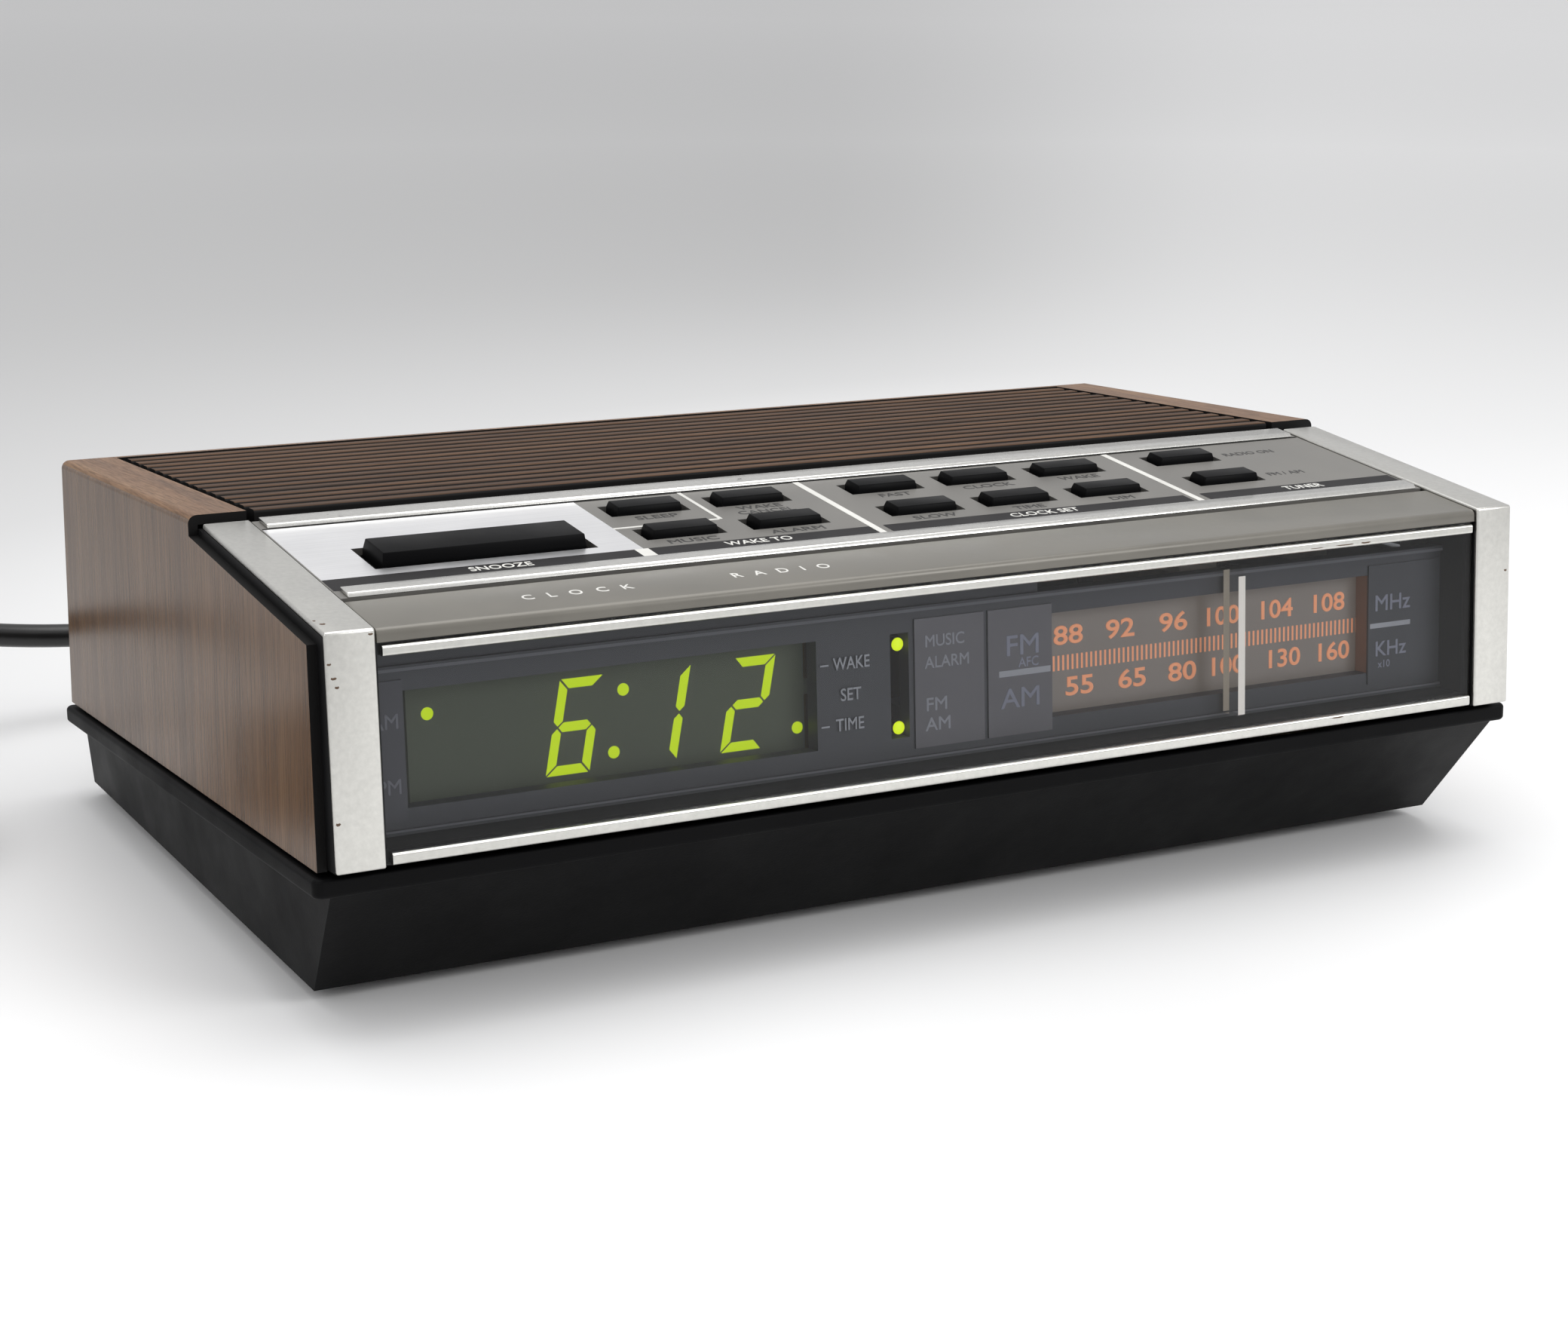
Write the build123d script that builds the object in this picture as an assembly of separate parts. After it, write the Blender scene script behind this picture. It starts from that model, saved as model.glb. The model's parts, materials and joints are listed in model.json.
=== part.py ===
"""A 1970s table clock radio: sloping key panel, glowing clock, tuning dial and mains lead.

Every piece but the mains lead is drawn in the cabinet's own frame: X to the right, Y to the
back, Z up, with y = 0 at the bottom front edge of the silver bands. The cabinet stands tipped
up at the front, so at the end each piece is tilted and set on its feet: the origin of the row
frame is at the middle of the footprint, on the surface that the radio stands on.
Three working planes carry the detail: FRONT (x, height up the window, out), SLOPE (x, distance
up the key panel, out) and the cabinet's horizontal planes. All sizes are in millimetres.
"""

from build123d import *

import os
from math import asin, atan2, cos, degrees, hypot, pi, radians, sin, tan

# ---- driving dimensions: the cabinet ----
TILT = 3.61  # how far the cabinet leans back, degrees
CABINET_HALF = 143.0
CABINET_TOP = 82.0
CABINET_BOTTOM = 24.2
SIDE_FRONT = 5.6  # y of the side walls' front edge
SIDE_SHOULDER = 67.3  # z where the side walls start to slope
SIDE_CREST = 77.8  # z where the side walls meet the top strips
CREST_Y = 75.3
BACK_TOP_Y = 172.2
BACK_BOTTOM_Y = 176.5
SIDE_WALL = 2.0
BACK_WALL = 2.5
TOP_WALL = 2.0
TOP_STRIP_INNER = 130.7
VENT_X = (-40, -20, 0, 20, 40)
VENT_Z = (46, 51, 56, 61)
VENT_SIZE = (16, 2)

# ---- driving dimensions: the grille ----
RIB_PITCH, RIB_WIDTH = 6.3, 4.0
RIB_COUNT = 15
RIB_HALF = 129.0
GRILLE_FLOOR = 77.0
RIB_FLOOR = 78.6
GRILLE_BAYS = 5
GRILLE_TIE = 3.0

# ---- driving dimensions: the front ----
FRONT_BOTTOM = 24.74
FRONT_LEAN = 1.56  # degrees
FRONT_HEIGHT = 45.35
SLOPE_RISE = 8.57  # degrees
SLOPE_LENGTH = 71.3
BAND_INNER, BAND_OUTER = 131.3, 141.1
BAND_THICK = 1.2
PANEL_OUT = -0.5  # outer face of the key panel and fascia, below the silver bands
PANEL_IN = -2.0
BEZEL_IN = -5.4
INSERT_HALF = 130.9  # half width of the lens, fascia and key panel
BAR_HALF = 129.4
BAR_OUT = 0.4
LOWER_BAR = (19.1, 23.6)  # from and to, up the slope
UPPER_BAR = (65.4, 71.1)
FASCIA_HIGH = 17.2  # up the slope; a dark groove is left below the lower bar
KEY_WELL = ((-124, 106), (31, 63.5))  # the opening in the bezel below the keys

# ---- driving dimensions: the window ----
WINDOW_HALF = 130.0
WINDOW_LOW, WINDOW_HIGH = 2.9, 39.7
LENS_OUT, LENS_IN = -1.4, -3.2
FASCIA_LOW = 42.4
MASK_OUT, MASK_IN = -10.6, -14.6
MASK_LOW, MASK_HIGH = 3.4, 36.0
FILTER_IN = -15.8
DISPLAY = (-122.6, -33.6, 8.3, 31.0)  # x from, x to, height from, height to
LAMP_SLOT = (-16.2, -11.8, 8.6, 30.6)
DIAL = (23.3, 108.8, 8.6, 31.0)
LABEL_FIELDS = [(-129.8, -122.9), (-10.6, 6.3), (7.3, 23.3), (108.8, 129.0)]
LABEL_UP = (6.0, 33.2)
LABEL_RAISE = 0.4
MASK_RIM = (1.0, 0.8)  # width and height of the ledge along the mask's edges
TOP_TRIM, BOTTOM_TRIM = (39.8, 41.9), (0.35, 2.75)
TUBE_OUT = -16.4  # front of the clock's display tube
LAMP_HEIGHTS = (28.0, 10.4)
DIAL_LAMPS = (44, 88)

# ---- driving dimensions: keys ----
KEY_ROWS = {"rear": 56.5, "front": 39.4}
SMALL_KEYS = {
    "sleep_key": (-49.5, "rear"),
    "music_key": (-49.5, "front"),
    "wake_cancel_key": (-24.9, "rear"),
    "alarm_key": (-24.9, "front"),
    "fast_set_key": (8.6, "rear"),
    "slow_set_key": (8.6, "front"),
    "clock_set_key": (32.7, "rear"),
    "time_set_key": (32.7, "front"),
    "wake_set_key": (57.2, "rear"),
    "dim_key": (57.2, "front"),
    "radio_on_key": (89.9, "rear"),
    "band_key": (89.9, "front"),
}
KEY_SLOT = (18.5, 7.6)
KEY_CAP = (15.0, 6.0)
KEY_TOP = (14.5, 5.0)
KEY_FLANGE = (20.4, 9.4)
KEY_RISE = 1.6  # above the key panel
KEY_WAIST = 0.35  # the cap tapers from this height above the key panel
SNOOZE_AT = (-94.4, 41.0)
SNOOZE_SLOT = (47.8, 13.8)
SNOOZE_CAP = (43.8, 11.2)
SNOOZE_TOP = (43.2, 10.0)
SNOOZE_FLANGE = (50.0, 15.8)
SNOOZE_RISE = 2.6
KEY_TRAVEL = 1.5
KEY_FLANGE_OUT = PANEL_IN - 0.05
KEY_FLANGE_THICK = 1.0
SWITCH_BOARD_OUT = -8.0
SWITCH_BOARD_THICK = 1.5
SWITCH_TOP = KEY_FLANGE_OUT - KEY_FLANGE_THICK - KEY_TRAVEL - 0.1

# ---- driving dimensions: base ----
FLANGE_HALF = 144.4
FLANGE_Y = (3.4, 178.0)
FLANGE_Z = (19.44, 23.35)
FLANGE_CORNER, FLANGE_ROUND = 2.0, 1.0
TUB_TOP_HALF = 140.9
TUB_DRAFT = 6.1  # degrees
TUB_FRONT_TOP_Y = 4.85
TUB_FRONT_BOTTOM = (24.3, -4.77)
TUB_BACK_TOP_Y, TUB_BACK_BOTTOM_Y = 173.5, 174.5
TUB_WALL = 2.4
RIM_TOP = 28.0
RIM_SIDE_Y = (20, 168)
FLOOR_SLOTS_X = range(-66, 67, 12)
FLOOR_SLOT_Y = (60, 95)
FOOT_RADIUS, FOOT_HEIGHT = 6.0, 3.0
FEET = [(-118, 44), (118, 44), (-118, 162), (118, 162)]

# ---- driving dimensions: screws and the posts that they join ----
SCREWS = [(-126.0, 29.5), (126.0, 29.5), (-126.0, 144.0), (126.0, 144.0)]
SCREW_RADIUS = 1.5
SCREW_HEAD_RADIUS, SCREW_HEAD = 3.0, 2.2
SCREW_SINK = 4.0
SLOT_DEPTH, SLOT_HALF = 0.8, 0.4
BOSS_RADIUS = 4.5
BOSS_TOP = 46.0
BOSS_Z = (28.5, BOSS_TOP)
POST_RADIUS = 4.6

# ---- driving dimensions: electronics and speaker ----
BOARD_Z = 17.0
BOARD_THICK = 1.6
BOARD_X, BOARD_Y = (-58, 104), (38, 162)
BOARD_POSTS = [(-50, 44), (96, 44), (-50, 154), (96, 154)]
TRANSFORMER_AT = (-98.0, 116.0)
SPEAKER_AT = (-30.0, 122.0)
SPEAKER_RADIUS = 38.0
SPEAKER_TOP = GRILLE_FLOOR - 0.2
MAGNET_RADIUS = 17.0
FERRITE_Y, FERRITE_Z = 163.0, 40.0
FERRITE_RADIUS = 4.5

# ---- driving dimensions: tuning drive ----
WHEEL_X = 119.0
WHEEL_RADIUS = 26.4
WHEEL_Z = (50.0, 55.0)
WHEEL_SLOT_Z = (WHEEL_Z[0] - 0.8, WHEEL_Z[1] + 0.8)
WHEEL_TEETH = 60
CONTROL_TOP = 46.0
TUNING_Y, VOLUME_Y = 48.0, 110.0
SHAFT_RADIUS = 3.0
RUNNING_GAP = 0.05
DRUM_RADIUS = 18.0  # to the middle of the dial string
IDLER_RADIUS = 9.0
IDLER_X = 6.0
STRING_RADIUS = 0.35
STRING_Z = 61.0
RAIL_RADIUS = 1.5
RAIL_X = (-6.0, 136.0)
RAIL_Y, RAIL_Z = 24.5, 61.2
POINTER_X = 68.7
POINTER_OUT = -4.2
POINTER_THICK = 2.0

# ---- driving dimensions: mains lead, in the row frame ----
CORD_RADIUS = 3.0
RELIEF_AT = (-88.0, 30.0)  # x and z on the cabinet's back wall, cabinet frame
RELIEF_LENGTH = 23.0
RELIEF_HOLE = 4.0
RELIEF_STEP = 0.5  # the collar clears the leaning wall
COIL_CENTRE = (-216.0, 62.0)
COIL_RADII = (24.0, 42.0)  # to the middle of the cord
COIL_LAYERS = 2
COIL_TURNS = 3  # in each layer
COIL_HEIGHT = 2 * CORD_RADIUS * COIL_LAYERS + 0.1
CORD_ROUTE = [
    (-88.0, 110.7, 26.7),
    (-88.6, 128.5, 25.4),
    (-98.5, 145.0, 22.3),
    (-116.0, 152.5, 20.6),
    (-137.0, 151.0, 22.6),
    (-157.5, 146.0, 27.0),
    (-180.0, 139.0, 27.6),
    (-203.0, 130.5, 20.5),
    (-230.0, 118.5, 9.5),
    (-249.0, 100.5, 3.6),
    (-257.4, 80.5, 3.1),
    (-258.0, 62.0, 3.1),
]
PLUG_ROUTE = [
    (-258.0, 61.0, 9.1),
    (-259.2, 44.0, 8.2),
    (-258.8, 27.0, 6.6),
]
PLUG_SIZE = (23.0, 31.0, 13.0)


# ---- working planes and helpers ----
def front_point(height, out):
    """(y, z) of a point of the front, from its height up the front and its distance out."""
    lean = radians(FRONT_LEAN)
    return (
        height * sin(lean) - out * cos(lean),
        FRONT_BOTTOM + height * cos(lean) + out * sin(lean),
    )


FOLD = front_point(FRONT_HEIGHT, 0)


def slope_point(up, out):
    """(y, z) of a point of the key panel, from its distance up the slope and its distance out."""
    rise = radians(SLOPE_RISE)
    return (
        FOLD[0] + up * cos(rise) - out * sin(rise),
        FOLD[1] + up * sin(rise) + out * cos(rise),
    )


def fold_point(out):
    """(y, z) where the front and the slope meet, both moved out by the same distance."""
    lean, rise = radians(FRONT_LEAN), radians(SLOPE_RISE)
    normal_sum = (-cos(lean) - sin(rise), sin(lean) + cos(rise))
    share = 1 + cos(lean) * sin(rise) + sin(lean) * cos(rise)
    return FOLD[0] + out * normal_sum[0] / share, FOLD[1] + out * normal_sum[1] / share


FRONT = Plane(
    origin=(0, 0, FRONT_BOTTOM),
    x_dir=(1, 0, 0),
    z_dir=(0, -cos(radians(FRONT_LEAN)), sin(radians(FRONT_LEAN))),
)
SLOPE = Plane(
    origin=(0, FOLD[0], FOLD[1]),
    x_dir=(1, 0, 0),
    z_dir=(0, -sin(radians(SLOPE_RISE)), cos(radians(SLOPE_RISE))),
)


def prism(points, x_from, x_to):
    """A closed outline of (y, z) points, drawn out along X."""
    outline = make_face(Polyline(*[(x_from, y, z) for y, z in points], close=True))
    return extrude(outline, amount=x_to - x_from, dir=(1, 0, 0))


def block(x, y, z):
    """A box from its (low, high) pairs."""
    size = [high - low for low, high in (x, y, z)]
    return Pos(*[(low + high) / 2 for low, high in (x, y, z)]) * Box(*size)


def on_plane(plane, x, up, out):
    """A box on a working plane, from its (low, high) pairs."""
    return plane * block(x, up, out)


def slope_block(centre, size, out):
    """A box on the slope from its centre, its (wide, deep) size and its (low, high) levels."""
    (x, up), (wide, deep) = centre, size
    return on_plane(SLOPE, (x - wide / 2, x + wide / 2), (up - deep / 2, up + deep / 2), out)


def disc(x, y, z, radius):
    """An upright cylinder from its axis, its (low, high) z and its radius."""
    return Pos(x, y, (z[0] + z[1]) / 2) * Cylinder(radius, z[1] - z[0])


def lying_rod(x, y, z, radius):
    """A cylinder along X from its (low, high) x, its axis and its radius."""
    return Pos((x[0] + x[1]) / 2, y, z) * Rot(0, 90, 0) * Cylinder(radius, x[1] - x[0])


def layer(x, outer, inner, height_from, up_to):
    """A sheet that follows the front from height_from, folds, and runs up the slope to up_to."""
    outline = [
        front_point(height_from, outer),
        fold_point(outer),
        slope_point(up_to, outer),
        slope_point(up_to, inner),
        fold_point(inner),
        front_point(height_from, inner),
    ]
    return prism(outline, *x)


def group(pieces):
    """Separate solids kept together as one node."""
    return Compound([solid for piece in pieces for solid in piece.solids()])


def both_sides(piece):
    """A piece and its mirror image."""
    return piece + mirror(piece, about=Plane.YZ)


def long_edges(piece, y, z, reach=0.6):
    """The edges along X whose middle is within reach of (y, z)."""
    edges = piece.edges().filter_by(Axis.X)
    return [e for e in edges if hypot(e.center().Y - y, e.center().Z - z) < reach]


# ---- cabinet ----
def cabinet_shell():
    outline = [
        (SIDE_FRONT, CABINET_BOTTOM),
        (SIDE_FRONT + 0.2, SIDE_SHOULDER),
        (CREST_Y, SIDE_CREST),
        (CREST_Y, CABINET_TOP),
        (BACK_TOP_Y, CABINET_TOP),
        (BACK_BOTTOM_Y, CABINET_BOTTOM),
    ]
    shell = prism(outline, -CABINET_HALF, CABINET_HALF)
    top_edges = [
        e
        for e in shell.edges().filter_by(Axis.Y)
        if e.center().Z > CABINET_TOP - 0.1 and abs(e.center().X) > CABINET_HALF - 0.1
    ]
    shell = fillet(top_edges, 1.8)
    back_slope = (BACK_BOTTOM_Y - BACK_TOP_Y) / (CABINET_TOP - CABINET_BOTTOM)
    inner_top = CABINET_TOP - TOP_WALL
    low = CABINET_BOTTOM - 5
    above = CABINET_TOP + 5
    inside = [
        (0, low),
        (0, above),
        (CREST_Y, above),
        (CREST_Y, inner_top),
        (BACK_TOP_Y - BACK_WALL + TOP_WALL * back_slope, inner_top),
        (BACK_BOTTOM_Y - BACK_WALL + (CABINET_BOTTOM - low) * back_slope, low),
    ]
    wall = CABINET_HALF - SIDE_WALL
    shell -= prism(inside, -wall, wall)
    shell -= block(
        (-TOP_STRIP_INNER, TOP_STRIP_INNER),
        (CREST_Y - 1, BACK_TOP_Y - TOP_WALL),
        (inner_top - 1, above),
    )
    for x, y in SCREWS:
        web = sorted((x, wall + 0.5 if x > 0 else -wall - 0.5))
        shell += disc(x, y, BOSS_Z, BOSS_RADIUS) + block(web, (y - 1, y + 1), BOSS_Z)
    for x, y in SCREWS:
        shell -= disc(x, y, (RIM_TOP, BOSS_TOP - 3), SCREW_RADIUS)
    for y in (TUNING_Y, VOLUME_Y):
        shell -= block((wall - 1, CABINET_HALF + 1), (y - 17, y + 17), WHEEL_SLOT_Z)
    relief_y = back_wall_y(RELIEF_AT[1])
    hole = Pos(RELIEF_AT[0], relief_y, RELIEF_AT[1]) * Rot(90, 0, 0) * Cylinder(RELIEF_HOLE, 12)
    wide, high = VENT_SIZE
    vents = [block((x, x + wide), (165, 182), (z, z + high)) for x in VENT_X for z in VENT_Z]
    return shell - hole - vents


def back_wall_y(z):
    """y of the back wall's outer face at a height."""
    share = (z - CABINET_BOTTOM) / (CABINET_TOP - CABINET_BOTTOM)
    return BACK_BOTTOM_Y + share * (BACK_TOP_Y - BACK_BOTTOM_Y)


def speaker_grille():
    """Ribs along the cabinet, tied together below by a frame and four cross ties."""
    back = BACK_TOP_Y - TOP_WALL - 0.1
    side = TOP_STRIP_INNER - 0.1
    frame = block((-side, side), (CREST_Y + 0.1, back - 0.6), (GRILLE_FLOOR, RIB_FLOOR))
    bay = (2 * RIB_HALF - (GRILLE_BAYS + 1) * GRILLE_TIE) / GRILLE_BAYS
    for i in range(GRILLE_BAYS):
        x = -RIB_HALF + GRILLE_TIE + i * (bay + GRILLE_TIE)
        frame -= block((x, x + bay), (CREST_Y + 3, back - 3), (70, 90))
    for i in range(RIB_COUNT):
        y = CREST_Y + 0.1 + i * RIB_PITCH
        rib = block((-RIB_HALF, RIB_HALF), (y, y + RIB_WIDTH), (RIB_FLOOR - 0.4, CABINET_TOP))
        crown = rib.edges().filter_by(Axis.X).group_by(Axis.Z)[-1]
        frame += fillet(crown, 0.7)
    return frame


# ---- front ----
def side_band():
    """One folded silver band: the left one."""
    band = layer((-BAND_OUTER, -BAND_INNER), 0, -BAND_THICK, 0, SLOPE_LENGTH)
    return fillet(long_edges(band, *FOLD), 0.7)


def front_bezel():
    """The black carrier behind the lens, the fascia, the key panel and the bands."""
    half = CABINET_HALF - SIDE_WALL
    bezel = layer((-half, half), PANEL_IN, BEZEL_IN, 0, SLOPE_LENGTH + 3.0)
    bezel += both_sides(
        layer((-half, -BAND_INNER + 0.1), -BAND_THICK, PANEL_IN, 0, SLOPE_LENGTH)
    )
    wall = 1.5
    tunnel = on_plane(
        FRONT,
        (-WINDOW_HALF - wall, WINDOW_HALF + wall),
        (0.4, WINDOW_HIGH + wall),
        (MASK_IN - 1, BEZEL_IN),
    )
    bezel += tunnel
    window = (WINDOW_LOW, WINDOW_HIGH)
    bezel -= on_plane(FRONT, (-WINDOW_HALF, WINDOW_HALF), window, (-30, 5))
    bezel -= on_plane(
        FRONT, (-INSERT_HALF - 0.1, INSERT_HALF + 0.1), (0.2, FASCIA_LOW), (LENS_IN, 5)
    )
    return bezel - on_plane(SLOPE, *KEY_WELL, (-12, 5))


def fascia_strip():
    strip = layer(
        (-INSERT_HALF, INSERT_HALF), PANEL_OUT, PANEL_IN, FASCIA_LOW, FASCIA_HIGH
    )
    return fillet(long_edges(strip, *fold_point(PANEL_OUT)), 1.4)


def panel_bar(up_from, up_to):
    """A flat bar across the slope with a bright front bevel."""
    bar = on_plane(SLOPE, (-BAR_HALF, BAR_HALF), (up_from, up_to), (PANEL_OUT, BAR_OUT))
    front = [
        e
        for e in bar.edges().filter_by(Axis.X)
        if abs(SLOPE.to_local_coords(e.center()).Y - up_from) < 0.05
        and SLOPE.to_local_coords(e.center()).Z > 0
    ]
    return chamfer(front, 0.6)


def window_trim(height_from, height_to):
    """A rounded chrome strip along an edge of the lens."""
    trim = on_plane(
        FRONT, (-WINDOW_HALF, WINDOW_HALF), (height_from, height_to), (LENS_OUT, -0.1)
    )
    outer = [
        e
        for e in trim.edges().filter_by(Axis.X)
        if FRONT.to_local_coords(e.center()).Z > -0.2
    ]
    return fillet(outer, 0.6)


def control_panel():
    panel = on_plane(
        SLOPE,
        (-INSERT_HALF, INSERT_HALF),
        (LOWER_BAR[0], SLOPE_LENGTH - 0.1),
        (PANEL_IN, PANEL_OUT),
    )
    slots = [(x, KEY_ROWS[row], KEY_SLOT) for x, row in SMALL_KEYS.values()]
    slots.append((*SNOOZE_AT, SNOOZE_SLOT))
    for x, up, size in slots:
        panel -= slope_block((x, up), size, (-3, 1))
    return panel


def window_lens():
    return on_plane(
        FRONT, (-INSERT_HALF, INSERT_HALF), (0.3, FASCIA_LOW - 0.1), (LENS_IN, LENS_OUT)
    )


def display_mask():
    """The dark plate behind the lens, with its three openings, rims and raised label fields."""
    half = WINDOW_HALF - 0.2
    mask = on_plane(FRONT, (-half, half), (MASK_LOW, MASK_HIGH), (MASK_IN, MASK_OUT))
    wide, high = MASK_RIM
    for low in (MASK_LOW, MASK_HIGH - wide):
        mask += on_plane(FRONT, (-half, half), (low, low + wide), (MASK_OUT, MASK_OUT + high))
    for x in LABEL_FIELDS:
        mask += on_plane(FRONT, x, LABEL_UP, (MASK_OUT, MASK_OUT + LABEL_RAISE))
    for x_from, x_to, low, high in (DISPLAY, LAMP_SLOT, DIAL):
        mask -= on_plane(FRONT, (x_from, x_to), (low, high), (-20, 0))
    return mask


def behind_opening(opening, margin, outer, inner):
    """A plate behind one of the mask's openings, larger than it by a margin."""
    x_from, x_to, low, high = opening
    return on_plane(
        FRONT, (x_from - margin, x_to + margin), (low - margin, high + margin), (inner, outer)
    )


def vfd_tube():
    """The clock's flat glass display tube with its exhaust tip."""
    tube = on_plane(FRONT, (-120, -33.5), (7.5, 32), (-24, TUBE_OUT))
    return tube + FRONT * Pos(-32, 20, -20.2) * Rot(0, 90, 0) * Cylinder(1.6, 4)


def lamp_pair():
    """The two light pipes that stand in the narrow slot, on the clock board."""
    x = LAMP_SLOT[1] - 1.6
    return [FRONT * Pos(x, h, -18.7) * Cylinder(1.4, 12.6) for h in LAMP_HEIGHTS]


def clock_board():
    board = on_plane(FRONT, (-120, -11), (3, 37), (-26.6, -25))
    pins = [
        on_plane(FRONT, (x, x + 0.6), (4.6, 5.2), (-25, -17.5)) for x in range(-118, -36, 6)
    ]
    return board + pins


def dial_lamps():
    """Two festoon lamps that light the dial from behind."""
    return [FRONT * Pos(x, 20, -20.5) * Rot(0, 90, 0) * Cylinder(2.4, 14) for x in DIAL_LAMPS]


# ---- keys ----
def key(centre, foot, top, flange, rise):
    """A moulded key: a slightly tapered cap through the panel and a flange that holds it in."""
    crest = PANEL_OUT + rise
    waist = PANEL_OUT + KEY_WAIST
    cap = slope_block(centre, foot, (KEY_FLANGE_OUT, waist))
    low_face = SLOPE * Pos(*centre, waist) * Rectangle(*foot)
    top_face = SLOPE * Pos(*centre, crest) * Rectangle(*top)
    cap += loft([low_face, top_face])
    return cap + slope_block(centre, flange, (KEY_FLANGE_OUT - KEY_FLANGE_THICK, KEY_FLANGE_OUT))


def small_key(x, row):
    return key((x, KEY_ROWS[row]), KEY_CAP, KEY_TOP, KEY_FLANGE, KEY_RISE)


def snooze_bar():
    return key(SNOOZE_AT, SNOOZE_CAP, SNOOZE_TOP, SNOOZE_FLANGE, SNOOZE_RISE)


def switch_board():
    """The circuit board below the keys, held by two posts under the bezel."""
    inner = SWITCH_BOARD_OUT - SWITCH_BOARD_THICK
    board = on_plane(SLOPE, (-123, 104), (32, 64), (inner, SWITCH_BOARD_OUT))
    for x in (-122.5, 98.0):
        board += on_plane(SLOPE, (x, x + 5), (64, 68), (inner, SWITCH_BOARD_OUT))
        board += on_plane(SLOPE, (x, x + 5), (66, 68), (SWITCH_BOARD_OUT, BEZEL_IN))
    return board


def switch_bank():
    """One tact switch under each key."""
    spots = [(x, KEY_ROWS[row]) for x, row in SMALL_KEYS.values()]
    spots += [(SNOOZE_AT[0] + dx, SNOOZE_AT[1]) for dx in (-14, 14)]
    switches = []
    for x, up in spots:
        body = slope_block((x, up), (6, 6), (SWITCH_BOARD_OUT, SWITCH_TOP - 0.6))
        plunger = SLOPE * Pos(x, up, SWITCH_TOP - 0.3) * Cylinder(1.7, 0.6)
        switches.append(body + plunger)
    return switches


# ---- base ----
def tub_outline(inset):
    """(y, z) outline of the tub, moved in by a wall; its floor is level when the radio stands."""
    floor_slope = tan(radians(TILT))
    y_front, z_front = TUB_FRONT_BOTTOM
    z_back = z_front + (TUB_BACK_BOTTOM_Y - y_front) * floor_slope
    top = FLANGE_Z[0] + (1.0 if inset == 0 else 12.0)
    rake = (y_front - TUB_FRONT_TOP_Y) / (FLANGE_Z[0] - z_front)
    sideways = inset * hypot(1, rake)
    return [
        (TUB_FRONT_TOP_Y - (top - FLANGE_Z[0]) * rake + sideways, top),
        (y_front - inset * rake + sideways, z_front + inset),
        (TUB_BACK_BOTTOM_Y - inset, z_back + inset),
        (TUB_BACK_TOP_Y - inset, top),
    ]


def tub_solid(inset):
    """The tub as a solid: its side outline, narrowed downwards by the draft of its sides."""
    draft = tan(radians(TUB_DRAFT))
    low, high = -20.0, 40.0
    half = [TUB_TOP_HALF - inset - (FLANGE_Z[0] - z) * draft for z in (low, high)]
    section = Polyline(
        (-half[0], 0, low), (half[0], 0, low), (half[1], 0, high), (-half[1], 0, high), close=True
    )
    sides = extrude(make_face(section), amount=200, dir=(0, 1, 0))
    return prism(tub_outline(inset), -160, 160) & sides


def floor_z(y):
    """z of the tub's underside."""
    return TUB_FRONT_BOTTOM[1] + (y - TUB_FRONT_BOTTOM[0]) * tan(radians(TILT))


def base_tub():
    tub = tub_solid(0)
    flange = block((-FLANGE_HALF, FLANGE_HALF), FLANGE_Y, FLANGE_Z)
    flange = fillet(flange.edges().filter_by(Axis.Z), FLANGE_CORNER)
    rims = flange.faces().filter_by(Axis.Z).edges()
    tub += fillet(rims, FLANGE_ROUND)
    tub -= tub_solid(TUB_WALL)
    side = CABINET_HALF - SIDE_WALL - 0.3
    for x in ((-side, -side + 1.5), (side - 1.5, side)):
        tub += block(x, RIM_SIDE_Y, (FLANGE_Z[0] + 1, RIM_TOP))
    tub += block((-120, 120), (171.5, 173.0), (FLANGE_Z[0] - 2, RIM_TOP))
    for x, y in BOARD_POSTS:
        tub += disc(x, y, (floor_z(y) + 1, BOARD_Z - BOARD_THICK), 3.5)
    tub += [disc(x, y, (floor_z(y) + 1, RIM_TOP), POST_RADIUS) for x, y in SCREWS]
    for x, y in SCREWS:
        tub -= disc(x, y, (-20, RIM_TOP + 2), SCREW_RADIUS + 0.4)
        tub -= disc(x, y, (-20, floor_z(y) + SCREW_SINK), SCREW_HEAD_RADIUS + 0.3)
    for x in FLOOR_SLOTS_X:
        tub -= block((x - 1.5, x + 1.5), FLOOR_SLOT_Y, (-20, 12))
    return tub


def rubber_feet():
    feet = []
    down = (0, sin(radians(TILT)), -cos(radians(TILT)))
    for x, y in FEET:
        spot = Plane(origin=(x, y, floor_z(y)), z_dir=down)
        foot = extrude(spot * Circle(FOOT_RADIUS), amount=FOOT_HEIGHT)
        feet.append(fillet(foot.edges().sort_by(Axis.Z)[0], 0.6))
    return group(feet)


def case_screws():
    screws = []
    for x, y in SCREWS:
        seat = floor_z(y) + SCREW_SINK
        head = disc(x, y, (seat - SCREW_HEAD, seat), SCREW_HEAD_RADIUS)
        cross = (seat - 3, seat - SCREW_HEAD + SLOT_DEPTH)
        for reach_x, reach_y in ((2.2, SLOT_HALF), (SLOT_HALF, 2.2)):
            head -= block((x - reach_x, x + reach_x), (y - reach_y, y + reach_y), cross)
        screws.append(head + disc(x, y, (seat, BOSS_TOP - 4), SCREW_RADIUS))
    return group(screws)


# ---- electronics ----
def main_board():
    return block(BOARD_X, BOARD_Y, (BOARD_Z - BOARD_THICK, BOARD_Z))


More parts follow.
